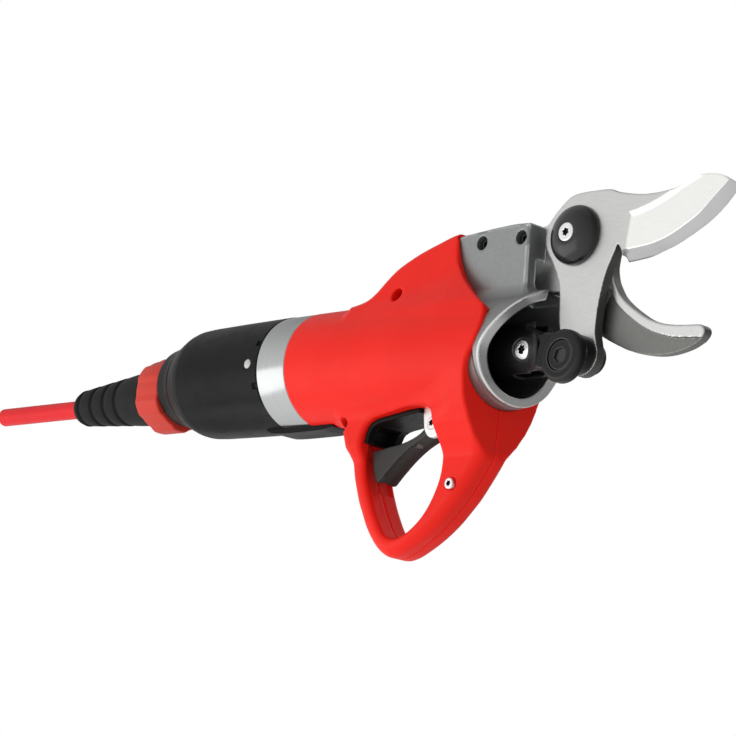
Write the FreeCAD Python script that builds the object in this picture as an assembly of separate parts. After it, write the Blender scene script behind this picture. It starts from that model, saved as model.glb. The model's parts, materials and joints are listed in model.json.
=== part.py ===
import FreeCAD, Part
import math
import os

# Electric pruning shears on a cable: boot and connector at the rear, then rear cap, motor
# sleeve, red grip with a trigger loop below, aluminium head and a blade closing on an anvil.
# Working frame (mm): x = 0 on the rear face of the aluminium band, z = 0 on the drive axis,
# +x to the blades, +y to the tool's left, +z up. Outlines are lists of (x, z) unless noted.
# Pieces are written moved by SHIFT, so that the origin is where the cable leaves its boot.

os.makedirs("parts", exist_ok=True)
Vector = FreeCAD.Vector
ORIGIN, X_AXIS, Y_AXIS = Vector(0, 0, 0), Vector(1, 0, 0), Vector(0, 1, 0)

# ---------------------------------------------------------------- shared dimensions
RUN = 0.05               # radial running clearance
FIT = 0.05               # radial clearance of seated pieces

GRIP_R = 21.0            # red grip and aluminium band
WALL = 2.35              # moulded shell wall
SLEEVE_R = GRIP_R - WALL  # bore of the shells and the cap, which holds the motor sleeve
SLEEVE_BORE_R = 16.6
BAND_L = 15.0            # width of the visible aluminium band
CAP_R = 21.5
CAP_REAR = -66.5

CABLE_R = 3.6
BOOTED_CABLE_R = CABLE_R - 0.3
CABLE_Z = -4.0
CABLE_REAR = -185.0
BOOT_REAR, BOOT_FRONT = -130.5, -80.0
CONNECTOR_Z = -2.5       # connector axis
PLUG_R = 11.8            # flanges of plug and socket
BARREL_R = 9.8           # plug barrel
SHIFT = Vector(-BOOT_REAR, 0.0, -CABLE_Z)

SHAFT_R = 3.0            # rear end of the drive screw, carrying the rotor
SCREW_R = 4.0
SCREW_TIP = 80.0
SCREW_LEAD = 5.0
NUT_REAR, NUT_FRONT, NUT_R = 57.0, 80.0, 7.5
ROD_R = 9.5
ROD_FRONT = 127.0

# pivots as (x, z)
ROD_PIN = (121.4, -2.0)  # link to push rod
TAIL_PIN = (144.4, -5.0)  # link to blade tail
PIVOT = (137.0, 36.5)    # blade
TRIGGER_PIN = (79.5, -23.8)

ROD_PIN_R = 2.5
TAIL_PIN_R = 2.75
PIVOT_R = 5.0
TRIGGER_PIN_R = 1.5
LINK_X, LINK_Z = TAIL_PIN[0] - ROD_PIN[0], TAIL_PIN[1] - ROD_PIN[1]

BLADE_T = 4.0
ANVIL_RIGHT, ANVIL_LEFT = 0.05, 4.5  # y of the anvil's faces
HEAD_HALF_W = 9.0
MOUTH_R, MOUTH_BORE_R = 19.5, 16.5
HEAD_REAR, HEAD_FRONT = 84.0, 129.0  # ends of the head's tube


# ---------------------------------------------------------------- helpers
def cyl_x(start, end, radius, y=0.0, z=0.0):
    return Part.makeCylinder(radius, end - start, Vector(start, y, z), X_AXIS)


def cyl_y(start, end, radius, x, z):
    return Part.makeCylinder(radius, end - start, Vector(x, start, z), Y_AXIS)


def hole_y(radius, at):
    """Cutter through the whole width of the tool."""
    return cyl_y(-20, 20, radius, *at)


def tube_x(start, end, radius, bore_r, z=0.0):
    return cyl_x(start, end, radius, z=z).cut(cyl_x(start - 1, end + 1, bore_r, z=z))


def box(x0, x1, y0, y1, z0, z1):
    return Part.makeBox(x1 - x0, y1 - y0, z1 - z0, Vector(x0, y0, z0))


def polygon_face(corners):
    return Part.Face(Part.makePolygon(corners + [corners[0]]))


def rev_x(points):
    """Solid of revolution about the drive axis; points are (x, radius)."""
    return polygon_face([Vector(x, 0, r) for x, r in points]).revolve(ORIGIN, X_AXIS, 360)


def rev_y(points, x, z):
    """Solid of revolution about an axis along y; points are (y, radius)."""
    face = polygon_face([Vector(x + r, y, z) for y, r in points])
    return face.revolve(Vector(x, 0, z), Y_AXIS, 360)


def prism(points, y0, y1):
    """Closed x-z outline extruded from y0 to y1."""
    return polygon_face([Vector(x, y0, z) for x, z in points]).extrude(Vector(0, y1 - y0, 0))


def prism_x(points, x0, x1):
    """Closed y-z outline extruded from x0 to x1."""
    return polygon_face([Vector(x0, y, z) for y, z in points]).extrude(Vector(x1 - x0, 0, 0))


def prism_z(points, z0, z1):
    """Closed x-y outline extruded from z0 to z1."""
    return polygon_face([Vector(x, y, z0) for x, y in points]).extrude(Vector(0, 0, z1 - z0))


def smooth(points, step=1.6):
    """Catmull-Rom curve through open points, sampled at about step."""
    curve = []
    last = len(points) - 1
    for i in range(last):
        near = [points[k] for k in (max(i - 1, 0), i, i + 1, min(i + 2, last))]
        length = math.hypot(near[2][0] - near[1][0], near[2][1] - near[1][1])
        count = max(1, int(round(length / step)))
        for j in range(count):
            t = j / count
            curve.append(tuple(
                0.5 * ((2 * start) + (-before + end) * t
                       + (2 * before - 5 * start + 4 * end - after) * t * t
                       + (-before + 3 * start - 3 * end + after) * t ** 3)
                for before, start, end, after in zip(*near)))
    curve.append(tuple(points[-1]))
    return curve


def polar(radius, degrees, x=0.0, z=0.0):
    angle = math.radians(degrees)
    return x + radius * math.cos(angle), z + radius * math.sin(angle)


def arc(x, z, radius, start, end, count):
    return [polar(radius, start + (end - start) * i / count, x, z) for i in range(count + 1)]


def hexagon(x, z, across, turn=0.0):
    return [polar(across / math.sqrt(3), 60 * i + turn, x, z) for i in range(6)]


def fuse(first, *others):
    for other in others:
        first = first.fuse(other)
    return first.removeSplitter()


def largest(shape):
    return max(shape.Solids, key=lambda solid: solid.Volume)


def turn_x(shape, degrees):
    """Turn a shape about the drive axis."""
    shape.rotate(ORIGIN, X_AXIS, degrees)
    return shape


def socket_screw(at, top, seat, end, head_r, shank_r, across, floor, turn=0.0):
    """Screw or pin along y, head on the right from top to seat, hex socket down to floor."""
    body = fuse(cyl_y(seat, end, shank_r, *at), cyl_y(top, seat, head_r, *at))
    return body.cut(prism(hexagon(*at, across, turn), top - 1, floor))


def coil(pitch, height, radius, wire_r):
    """Round wire swept along a helix about z."""
    circle = Part.makeCircle(wire_r, Vector(radius, 0, 0), Y_AXIS)
    helix = Part.Wire(Part.makeHelix(pitch, height, radius))
    return helix.makePipeShell([Part.Wire(circle)], True, True)


# ---------------------------------------------------------------- cable and boot
def cable_cores():
    """Three cores, bared by 2 mm at the rear end."""
    places = [polar(1.45, angle) for angle in (90, 210, 330)]
    return [cyl_x(CABLE_REAR - 2.0, BOOT_FRONT, 0.95, y, CABLE_Z + z) for y, z in places]


def power_cable(cores):
    cable = fuse(cyl_x(CABLE_REAR, BOOT_REAR, CABLE_R, 0, CABLE_Z),
                 cyl_x(BOOT_REAR, BOOT_FRONT, BOOTED_CABLE_R, 0, CABLE_Z))
    for core in cores:
        cable = cable.cut(core)
    return cable


def strain_relief_boot():
    """Boot with a rounded tail and four grooves, swelling and rising towards the connector."""
    profile = [(BOOT_REAR, 0.0), (BOOT_REAR, 4.6), (-130.1, 5.6), (-129.2, 6.3), (-128.1, 6.8),
               (-127.0, 7.1)]
    for groove_x in (-125.3, -116.3, -107.5, -99.2):
        radius = 7.1 + (groove_x + 128.0) * 0.083
        profile += [(groove_x - 1.3, radius), (groove_x - 0.7, radius - 0.8),
                    (groove_x + 0.7, radius - 0.8), (groove_x + 1.3, radius + 0.1)]
    profile += [(-94.0, 10.0), (-86.0, 10.6), (BOOT_FRONT, 10.9), (BOOT_FRONT, 0.0)]
    boot = rev_x(profile)
    droop = math.atan((CABLE_Z - CONNECTOR_Z) / (BOOT_REAR - BOOT_FRONT))
    boot.rotate(Vector(BOOT_FRONT, 0, 0), Y_AXIS, -math.degrees(droop))
    boot.translate(Vector(0, 0, CONNECTOR_Z))
    # square off both tilted ends
    boot = boot.cut(box(BOOT_FRONT, BOOT_FRONT + 5, -20, 20, -20, 20))
    boot = boot.cut(box(BOOT_REAR - 5, BOOT_REAR, -20, 20, -20, 20))
    return boot.cut(cyl_x(BOOT_REAR - 5, BOOT_FRONT + 5, BOOTED_CABLE_R, 0, CABLE_Z))


# ---------------------------------------------------------------- connector
FLANGE_FRONT, BARREL_FRONT = -77.0, -67.0  # front ends of the plug's flange and barrel
PIN_PLACES = [polar(4.6, angle, z=CONNECTOR_Z) for angle in (45, 135, 225, 315)]  # (y, z)


def contact_pins():
    return [fuse(cyl_x(-75.0, -58.0, 1.0, y, z), cyl_x(-63.0, -61.5, 1.5, y, z))
            for y, z in PIN_PLACES]


def plug_insert():
    plug = fuse(cyl_x(BOOT_FRONT, FLANGE_FRONT, PLUG_R, 0, CONNECTOR_Z),
                cyl_x(FLANGE_FRONT, BARREL_FRONT, BARREL_R, 0, CONNECTOR_Z))
    for y, z in PIN_PLACES:
        plug = plug.cut(cyl_x(-76.0, -60.0, 1.1, y, z))
    return plug


def connector_socket(pins):
    socket = fuse(cyl_x(BARREL_FRONT, -61.0, PLUG_R, 0, CONNECTOR_Z),
                  tube_x(-72.5, BARREL_FRONT, PLUG_R, BARREL_R + FIT, CONNECTOR_Z))
    for pin in pins:
        socket = socket.cut(pin)
    return socket


def locking_ring():
    """Ring with six lobes around the plug."""
    ring_r, half_depth, samples = 14.6, 0.75, 96
    outline = []
    for i in range(samples):
        angle = 2 * math.pi * i / samples
        wave = math.cos(6 * angle)
        radius = ring_r - half_depth + half_depth * math.copysign(abs(wave) ** 0.5, wave)
        outline.append((radius * math.sin(angle), CONNECTOR_Z + radius * math.cos(angle)))
    ring = prism_x(outline, -79.9, -66.6)
    return ring.cut(cyl_x(-85, -60, PLUG_R + RUN, 0, CONNECTOR_Z))


# ---------------------------------------------------------------- rear cap
LENS_DIR = Vector(0, -21.0, 0.2)
LENS_DIR.normalize()
LENS_BASE = Vector(-5.2, 0, 0)
LENS_R = 1.7
LENS_FLOOR = 18.9        # distance of the lens's inner face from the drive axis

# (x, radius)
CAP_PROFILE = [
    (CAP_REAR, 0.0), (CAP_REAR, 14.2), (-65.5, 14.9), (-63.0, 15.4), (-60.5, 15.9),
    (-57.5, 16.9), (-52.5, 19.0), (-50.0, 20.0), (-47.5, 20.6), (-42.5, 20.9),
    (-24.0, 21.25), (0.0, CAP_R), (0.0, 0.0)]
CAP_HOLLOW = [
    (-58.6, 0), (-58.6, 14.45), (-53.5, 15.6), (-50.0, 17.5), (-46.0, 18.3),
    (-26.0, SLEEVE_R), (1.0, SLEEVE_R), (1.0, 0)]


def lens_cylinder(start, length):
    return Part.makeCylinder(LENS_R, length, LENS_BASE + LENS_DIR * start, LENS_DIR)


def rear_cap():
    cap = rev_x(CAP_PROFILE).cut(rev_x(CAP_HOLLOW))
    # the rear mouth follows the connector axis
    cap = cap.cut(cyl_x(CAP_REAR - 1, -57.6, PLUG_R + FIT, 0, CONNECTOR_Z))
    cap = cap.cut(cyl_x(CAP_REAR - 1, CAP_REAR + 0.6, 13.9, 0, CONNECTOR_Z))
    cap = cap.cut(lens_cylinder(16.0, 8.0))
    # two nicks in the front edge, behind the lens side of the band
    for angle in (68.0, 112.0):
        cap = cap.cut(turn_x(box(-2.6, 0.5, -1.1, 1.1, CAP_R - 0.8, CAP_R + 1.5), angle))
    return cap


def status_lens():
    """Domed round lens in the cap's right side."""
    dome = Part.makeSphere(3.0, LENS_BASE + LENS_DIR * (LENS_FLOOR - 0.05))
    return fuse(lens_cylinder(LENS_FLOOR, 2.45), dome.common(lens_cylinder(LENS_FLOOR, 5.0)))


# ---------------------------------------------------------------- motor and ball screw
CAN_REAR, CAN_FRONT = -48.0, 9.0
STATOR_R = 15.4
BEARING_R = 8.0          # rear bearing
FRONT_BEARING_R = 11.0


def motor_sleeve():
    """Sleeve whose thick middle is the visible band."""
    sleeve = fuse(cyl_x(-25.0, 0.0, SLEEVE_R - FIT), cyl_x(0.0, BAND_L, GRIP_R),
                  cyl_x(BAND_L, 40.0, SLEEVE_R - FIT))
    return sleeve.cut(cyl_x(-30, 50, SLEEVE_BORE_R))


def motor_can():
    can = cyl_x(CAN_REAR, CAN_FRONT, SLEEVE_BORE_R - FIT).cut(cyl_x(-43.0, 8.0, STATOR_R))
    return can.cut(cyl_x(-50, -40, BEARING_R)).cut(cyl_x(5.0, 10.0, 13.0))


def stator_core():
    core = tube_x(-40.0, 2.0, STATOR_R, 10.2)
    for i in range(6):
        core = core.cut(turn_x(box(-36.0, -2.0, -1.2, 1.2, 11.4, 14.4), 60 * i))
    return core


def stator_coils():
    return Part.makeCompound(
        [turn_x(box(-36.0, -2.0, -1.15, 1.15, 11.45, 14.35), 60 * i) for i in range(6)])


def motor_rotor():
    rotor = tube_x(-38.0, 0.0, 9.4, SHAFT_R)
    for i in range(8):
        rotor = rotor.cut(turn_x(box(-38.5, 0.5, -0.4, 0.4, 8.6, 10.0), 45 * i))
    return rotor


def bearing(start, end, radius, bore_r, recess_r, recess_bore_r):
    """Bearing with a ring-shaped recess in each end face."""
    depth = 0.6
    body = tube_x(start, end, radius, bore_r)
    body = body.cut(tube_x(start - 1, start + depth, recess_r, recess_bore_r))
    return body.cut(tube_x(end - depth, end + 1, recess_r, recess_bore_r))


def bearing_block():
    block = tube_x(CAN_FRONT, 22.0, SLEEVE_BORE_R - FIT, FRONT_BEARING_R)
    return fuse(block.cut(cyl_x(8.0, 9.6, 13.0)), tube_x(20.0, 22.0, 12.0, 8.0))


def drive_screw():
    tip_l = 1.0
    cone = Part.makeCone(SCREW_R, SCREW_R - tip_l, tip_l, Vector(SCREW_TIP - tip_l, 0, 0), X_AXIS)
    screw = fuse(cyl_x(CAN_REAR, 2.0, SHAFT_R), cyl_x(2.0, SCREW_TIP - tip_l, SCREW_R), cone)
    # guards the helical sweep and its cut: if either fails, the screw stays plain
    try:
        groove = coil(SCREW_LEAD, 56.0, SCREW_R + 0.35, 0.85)
        groove.rotate(ORIGIN, Y_AXIS, 90)
        groove.translate(Vector(23.5, 0, 0))
        grooved = screw.cut(groove)
        if grooved.isValid() and len(grooved.Solids) == 1 and grooved.Volume < screw.Volume:
            return grooved
    except Exception:
        pass
    return screw


# ---------------------------------------------------------------- push rod, link and pins
def push_rod():
    seat, head_r = -7.6, 3.4
    rod = cyl_x(NUT_REAR, ROD_FRONT, ROD_R)
    rod = rod.cut(cyl_x(NUT_REAR - 1, NUT_FRONT, NUT_R)).cut(cyl_x(NUT_FRONT - 1, 116.0, 5.0))
    # fork for the link
    rod = rod.cut(box(113.0, 140.0, -3.0, 3.0, -20, 20))
    # round the nose about the pin
    nose = cyl_y(-20, 20, 7.2, ROD_PIN[0], ROD_PIN[1] + 0.6)
    rod = rod.cut(box(ROD_PIN[0], 140, -20, 20, -20, 20).cut(nose))
    return rod.cut(hole_y(ROD_PIN_R, ROD_PIN)).cut(cyl_y(-20, seat, head_r, *ROD_PIN))


def rod_pin():
    """Pin whose ends are trimmed to the rod's round."""
    pin = socket_screw(ROD_PIN, -9.4, -7.6, 8.6, 3.35, ROD_PIN_R, 3.0, -7.9)
    return pin.common(cyl_x(100, 140, ROD_R - 0.05))


def link_clevis():
    """Drawn along +x from the rod pin, then turned to the link's rest angle."""
    length = math.hypot(LINK_X, LINK_Z)
    tail = (length, 0)
    right, plate_left, hub_right = -9.2, -4.15, -10.6
    far_right, far_left = 0.15, 2.6
    tongue = fuse(cyl_y(-2.9, 2.9, 5.3, 0, 0), box(0, 11.5, -2.9, 2.9, -4.2, 4.2))
    right_plate = prism([(7.6, -6.0), (9.4, -6.4), (length, -6.4), (length, 6.4), (9.4, 6.4),
                         (7.6, 5.5)], right, plate_left)
    right_plate = right_plate.cut(cyl_y(-20, -2.9, 7.45, 0, 0))
    left_plate = box(7.8, length, far_right, far_left, -5.2, 5.2)
    web = box(7.6, 10.3, -4.5, far_left, -5.2, 5.2)
    hub = cyl_y(right, plate_left, 6.5, *tail).fuse(cyl_y(hub_right, -8.6, 8.9, *tail))
    hub = hub.fuse(Part.makeCone(8.9, 7.4, 1.9, Vector(length, hub_right, 0), Vector(0, -1, 0)))
    link = fuse(tongue, web, right_plate, left_plate, hub,
                cyl_y(far_right, far_left, 5.4, *tail))
    link = link.cut(hole_y(ROD_PIN_R + RUN, (0, 0))).cut(hole_y(TAIL_PIN_R, tail))
    link = link.cut(cyl_y(-20, -11.2, 5.3, *tail))
    link.rotate(ORIGIN, Y_AXIS, -math.degrees(math.atan2(LINK_Z, LINK_X)))
    link.translate(Vector(ROD_PIN[0], 0, ROD_PIN[1]))
    return link


# ---------------------------------------------------------------- cutting blade
BLADE_ANGLE = 46.0       # full closing travel, degrees
ROD_RATIO = -41.2        # push rod mm per blade radian
LINK_RATIO = -0.28       # link radian per blade radian
GROUND_Y = -BLADE_T + 0.7  # ground right face
EDGE_T = 0.3             # thickness left at the cutting edge

SPINE = smooth([
    (126.3, 45.3), (128.6, 47.4), (131.5, 49.7), (135.1, 51.1), (142.1, 51.3), (150.2, 50.9),
    (153.9, 49.6), (159.1, 48.4), (164.3, 47.5), (169.7, 47.2), (175.0, 47.4), (179.5, 48.0),
    (184.5, 49.6), (188.4, 51.0), (193.0, 50.9), (197.0, 50.0), (199.9, 48.4), (203.4, 46.4)])
EDGE = smooth([
    (203.4, 46.4), (200.6, 43.4), (196.9, 39.7), (191.8, 35.9), (185.5, 32.6), (178.4, 29.5),
    (172.5, 27.8), (168.1, 26.6), (161.6, 26.0), (158.2, 25.8)])
BEVEL_TOP = smooth([
    (200.6, 48.0), (197.8, 45.6), (193.8, 42.2), (189.5, 38.4), (184.2, 35.4), (177.1, 32.2),
    (170.1, 30.4), (162.4, 29.8), (158.4, 29.6)])
TAIL_FRONT = smooth([
    (155.6, 31.4), (154.2, 28.2), (151.9, 23.0), (150.3, 16.4), (149.4, 9.8), (149.2, 3.1),
    (150.2, -1.0)])
TAIL_REAR = smooth([
    (137.6, -5.0), (135.2, 0.0), (133.3, 4.5), (132.4, 9.1), (131.8, 16.0), (131.1, 20.2),
    (129.4, 24.0), (126.5, 29.0), (123.6, 33.0), (122.6, 37.5), (123.6, 41.8), (126.3, 45.3)])
GROUND_TOP = smooth([
    (200.6, 52.5), (192.0, 52.5), (186.5, 50.4), (181.0, 48.3), (177.4, 46.4), (173.0, 44.6),
    (168.6, 43.1), (163.8, 41.9), (160.2, 41.3)])


def resample(points, count):
    """The same path as count points evenly spaced along it."""
    travel = [0.0]
    for (x0, z0), (x1, z1) in zip(points, points[1:]):
        travel.append(travel[-1] + math.hypot(x1 - x0, z1 - z0))
    even = []
    for j in range(count):
        target = travel[-1] * j / (count - 1)
        i = 1
        while i < len(travel) - 1 and travel[i] < target:
            i += 1
        part = (target - travel[i - 1]) / (travel[i] - travel[i - 1])
        even.append(tuple(a + part * (b - a) for a, b in zip(points[i - 1], points[i])))
    return even


def bevel_wedges():
    """Primary bevel from the ground face down to the cutting edge, one solid per step."""
    def row(points, y):
        return [Vector(x, y, z) for x, z in points]

    edge = resample(EDGE, len(BEVEL_TOP))
    top_right, top_left = row(BEVEL_TOP, GROUND_Y), row(BEVEL_TOP, 0.0)
    edge_right, edge_left = row(edge, -EDGE_T), row(edge, 0.0)
    wedges = []
    for i in range(len(BEVEL_TOP) - 1):
        j = i + 1
        faces = [polygon_face(corners) for corners in (
            [top_right[i], top_right[j], edge_right[j]],
            [top_right[i], edge_right[j], edge_right[i]],
            [top_left[i], top_left[j], edge_left[j]],
            [top_left[i], edge_left[j], edge_left[i]],
            [top_right[i], top_right[j], top_left[j], top_left[i]],
            [edge_right[i], edge_right[j], edge_left[j], edge_left[i]],
            [top_right[i], edge_right[i], edge_left[i], top_left[i]],
            [top_right[j], edge_right[j], edge_left[j], top_left[j]])]
        wedge = Part.makeSolid(Part.makeShell(faces))
        if wedge.Volume < 0:
            wedge.reverse()
        wedges.append(wedge)
    return wedges


def turned(x, z, angle):
    return (x * math.cos(angle) + z * math.sin(angle),
            -x * math.sin(angle) + z * math.cos(angle))


def hull(points):
    """Convex hull of points."""
    def half(ordered):
        chain = []
        for x, z in ordered:
            while len(chain) > 1:
                (x0, z0), (x1, z1) = chain[-2:]
                if (x1 - x0) * (z - z0) - (z1 - z0) * (x - x0) > 0:
                    break
                chain.pop()
            chain.append((x, z))
        return chain[:-1]

    ordered = sorted(set(points))
    return half(ordered) + half(ordered[::-1])


def tail_slot():
    """Hull of the tail pin's path across the blade as it closes, with clearance."""
    steps, radius = 24, TAIL_PIN_R + 0.35
    rim = []
    for i in range(steps):
        angle = math.radians(BLADE_ANGLE) * i / (steps - 1)
        x, z = turned(LINK_X, LINK_Z, LINK_RATIO * angle)
        x, z = x + ROD_PIN[0] + ROD_RATIO * angle, z + ROD_PIN[1]
        x, z = turned(x - PIVOT[0], z - PIVOT[1], -angle)
        for degrees in range(0, 360, 12):
            rim_x, rim_z = polar(radius, degrees, PIVOT[0] + x, PIVOT[1] + z)
            rim.append((round(rim_x, 4), round(rim_z, 4)))
    return prism(hull(rim), -10, 10)


def cutting_blade():
    heel = [(157.4, 29.9), (156.2, 31.6)]
    tail_end = arc(*TAIL_PIN, 6.8, 28, -180, 20)
    outline = SPINE[:-3] + BEVEL_TOP + heel + TAIL_FRONT[:-1] + tail_end + TAIL_REAR[1:-1]
    blade = prism(outline, -BLADE_T, 0.0)
    # thinner ground field ahead of the heel
    field = GROUND_TOP + [(159.3, 33.0), (158.4, 24.0), (215.0, 24.0), (215.0, 52.5)]
    blade = blade.cut(prism(field, -BLADE_T - 1, GROUND_Y))
    blade = blade.multiFuse(bevel_wedges()).removeSplitter()
    return blade.cut(hole_y(PIVOT_R + RUN, PIVOT)).cut(tail_slot())


# ---------------------------------------------------------------- anvil blade
HEAD_SCREW_R = 2.0
HEAD_SCREWS = [(97.7, 37.1), (116.2, 37.1)]

THROAT = smooth([
    (151.2, 33.0), (150.4, 27.3), (150.5, 24.6), (151.5, 21.1), (153.1, 18.3), (155.3, 15.3),
    (158.8, 12.3), (162.6, 9.7), (167.5, 6.8), (172.3, 4.9), (176.6, 3.8), (181.9, 3.1),
    (187.5, 2.7), (190.6, 2.4), (192.3, 1.0), (192.0, -0.9), (190.4, -2.6)])
UNDERSIDE = smooth([
    (190.4, -2.6), (186.4, -4.4), (181.7, -5.5), (177.3, -6.0), (172.4, -5.9), (166.6, -5.0),
    (160.6, -3.5), (155.3, -1.3), (150.4, 1.0), (146.7, 3.2), (140.5, 8.5), (134.5, 15.0),
    (130.5, 18.5)])
RELIEF = smooth([
    (151.0, 18.0), (153.4, 13.4), (157.2, 10.0), (161.4, 6.9), (166.4, 3.8), (171.2, 1.6),
    (176.3, 0.0), (181.3, -1.0), (196.0, -2.2)])
ANVIL_OUTLINE = (
    [(92.0, 40.2), (119.0, 41.0), (124.0, 42.5)] + arc(*PIVOT, 13.4, 130, -10, 24)
    + THROAT + UNDERSIDE[1:] + [(124.0, 19.0), (112.0, 22.2), (92.0, 26.0)])


def anvil_blade():
    anvil = prism(ANVIL_OUTLINE, ANVIL_RIGHT, ANVIL_LEFT)
    # right face relieved below a land along the throat
    relief = RELIEF + [(196.0, -12.0), (140.0, -12.0), (146.0, 8.0)]
    anvil = anvil.cut(prism(relief, ANVIL_RIGHT - 1, ANVIL_RIGHT + 0.9))
    anvil = anvil.cut(hole_y(PIVOT_R, PIVOT))
    for at in HEAD_SCREWS:
        anvil = anvil.cut(hole_y(HEAD_SCREW_R, at))
    return anvil


# ---------------------------------------------------------------- pivot
DOME_SCREW_R = 1.5
DOME_SEAT = -8.2         # y under the dome screw's head

# (y, radius)
DOME_PROFILE = [
    (-4.1, 10.3), (-4.9, 10.3), (-5.9, 9.9), (-7.0, 9.0), (-8.0, 7.6), (-8.7, 6.0),
    (-9.1, 4.4), (-9.2, 3.4), (DOME_SEAT, 3.4), (DOME_SEAT, DOME_SCREW_R),
    (-7.3, DOME_SCREW_R), (-7.3, 6.4), (-6.7, 8.5), (-4.1, 8.5)]


def pivot_bolt():
    bolt = fuse(cyl_y(-7.2, ANVIL_LEFT, PIVOT_R, *PIVOT), cyl_y(ANVIL_LEFT, 6.0, 8.2, *PIVOT),
                prism(hexagon(*PIVOT, 13.0), 6.0, 9.6))
    return bolt.cut(cyl_y(-10, -2.0, DOME_SCREW_R, *PIVOT))


def pivot_nut():
    """Round nut with twelve notches."""
    nut = cyl_y(-6.6, -4.1, 8.4, *PIVOT).cut(cyl_y(-8, 0, PIVOT_R, *PIVOT))
    for i in range(12):
        nut = nut.cut(cyl_y(-8, 0, 0.9, *polar(8.5, 30 * i, *PIVOT)))
    return nut


# ---------------------------------------------------------------- aluminium head
SCREW_SEATS = (-6.0, 7.0)  # y under the right and left heads of the head screws

PLATE_OUTLINE = [
    (82.0, 37.0), (86.3, 40.8), (94.7, 41.4), (103.8, 42.0), (112.1, 42.3), (119.4, 42.0),
    (120.6, 16.5), (118.0, 8.0), (92.0, 8.0), (84.0, 16.0), (82.0, 26.0)]
MOUTH_RIM = smooth([
    (112.5, -25.0), (112.5, -14.0), (112.7, -9.0), (113.8, -3.0), (116.2, 1.3), (120.0, 6.2),
    (124.2, 11.4), (127.2, 15.0), (128.6, 20.0)])


def head_blank():
    """Flat plates and the full length of the tube, both solid."""
    return (prism(PLATE_OUTLINE, -HEAD_HALF_W, HEAD_HALF_W),
            cyl_x(HEAD_REAR, HEAD_FRONT, MOUTH_R))


def head_housing():
    plate, mouth = head_blank()
    mouth = mouth.cut(prism(MOUTH_RIM + [(150, 20), (150, -25)], -30, 30))
    head = fuse(plate, mouth).cut(cyl_x(80, 140, MOUTH_BORE_R))
    # seat of the anvil, then room for the moving blade
    head = head.cut(prism(ANVIL_OUTLINE, ANVIL_RIGHT, ANVIL_LEFT))
    below = [(112.0, 12.0), (112.0, 22.4), (140.0, 30.0), (140.0, 12.0)]
    head = head.cut(prism(below, ANVIL_RIGHT, ANVIL_LEFT))
    blade_room = [(106.5, 0.0), (106.5, 19.0), (111.0, 24.0), (116.0, 30.5), (140.0, 33.0),
                  (140.0, 0.0)]
    head = head.cut(prism(blade_room, -4.7, ANVIL_RIGHT))
    for at in HEAD_SCREWS:
        head = head.cut(hole_y(HEAD_SCREW_R, at)).cut(cyl_y(-20, SCREW_SEATS[0], 3.4, *at))
        head = head.cut(cyl_y(SCREW_SEATS[1], 20, 3.4, *at))
    return head


def head_screws():
    right, left = SCREW_SEATS
    return Part.makeCompound([
        fuse(socket_screw(at, -8.0, right, left, 3.3, HEAD_SCREW_R, 2.5, -6.8),
             cyl_y(left, 8.6, 3.3, *at)) for at in HEAD_SCREWS])


def wiper_seal():
    return rev_x([(90.0, 10.6), (92.2, ROD_R + 0.08), (93.0, ROD_R + 0.08), (93.6, 10.8),
                  (93.6, MOUTH_BORE_R), (90.0, MOUTH_BORE_R)])


# ---------------------------------------------------------------- red shells
HUMP_HALF_W = 11.0
LOOP_HALF_W = 7.2
LINER_HALF_W = 8.6
CHANNEL_HALF_W = 5.6
SHELL_SCREW_R = 1.5
LOOP_SCREW_R = 1.4
SCREW_END = 7.0          # y where the shells' screw holes end
SHELL_SCREWS = [((62.6, 21.2), -6.4), ((37.8, -22.4), -4.6)]  # place, y under the head
LOOP_SCREW, LOOP_SCREW_SEAT = (92.6, -45.8), -6.6

HUMP_OUTLINE = smooth([
    (39.0, 18.9), (43.5, 20.0), (47.2, 21.5), (50.5, 23.9), (54.6, 28.3), (59.1, 32.2),
    (66.2, 35.9), (71.0, 37.8), (75.8, 39.4), (80.5, 40.9), (84.0, 41.7), (88.0, 42.2)], 2.0)
HUMP_OUTLINE += [(94.0, 41.0), (114.0, 20.0), (114.0, -5.0), (39.0, -5.0)]
HUMP_HOLLOW = [
    (47.0, 0.0), (52.0, 17.0), (57.5, 22.0), (59.5, 26.0), (64.5, 29.5), (70.0, 32.2),
    (79.0, 36.0), (82.0, 37.0), (84.0, 36.0), (84.0, 0.0)]
LOOP_OUTLINE = smooth([
    (31.0, -16.0), (32.6, -21.5), (34.2, -25.0), (36.0, -28.6), (38.2, -32.8), (40.0, -37.2),
    (41.7, -41.6), (43.4, -45.9), (45.2, -50.2), (47.7, -54.6), (50.2, -58.9), (53.5, -63.2),
    (58.0, -67.4), (63.0, -69.7), (68.0, -69.2), (74.0, -66.6), (80.8, -62.7), (86.8, -58.3),
    (91.4, -54.0), (95.6, -49.7), (98.8, -45.6), (101.6, -41.8), (104.0, -38.4),
    (105.9, -35.0)], 2.2)
LOOP_OUTLINE += [(107.6, -30.0), (107.6, 0.0), (31.0, 0.0)]
# (y, z) of the chin's left half, bottom to top
CHIN_SECTION = smooth([
    (0.0, -36.4), (4.6, -34.2), (9.4, -30.9), (13.8, -25.9), (16.4, -21.2), (18.0, -16.9),
    (18.8, -12.0), (19.5, -6.0), (20.4, 0.0)], 2.5)
# (x, y) of the chin's left side seen from above
CHIN_PLAN = smooth([
    (40.0, 9.0), (58.0, 9.4), (74.0, 11.0), (88.0, 14.4), (98.0, 17.6), (107.5, 20.4)], 4.0)
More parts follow.
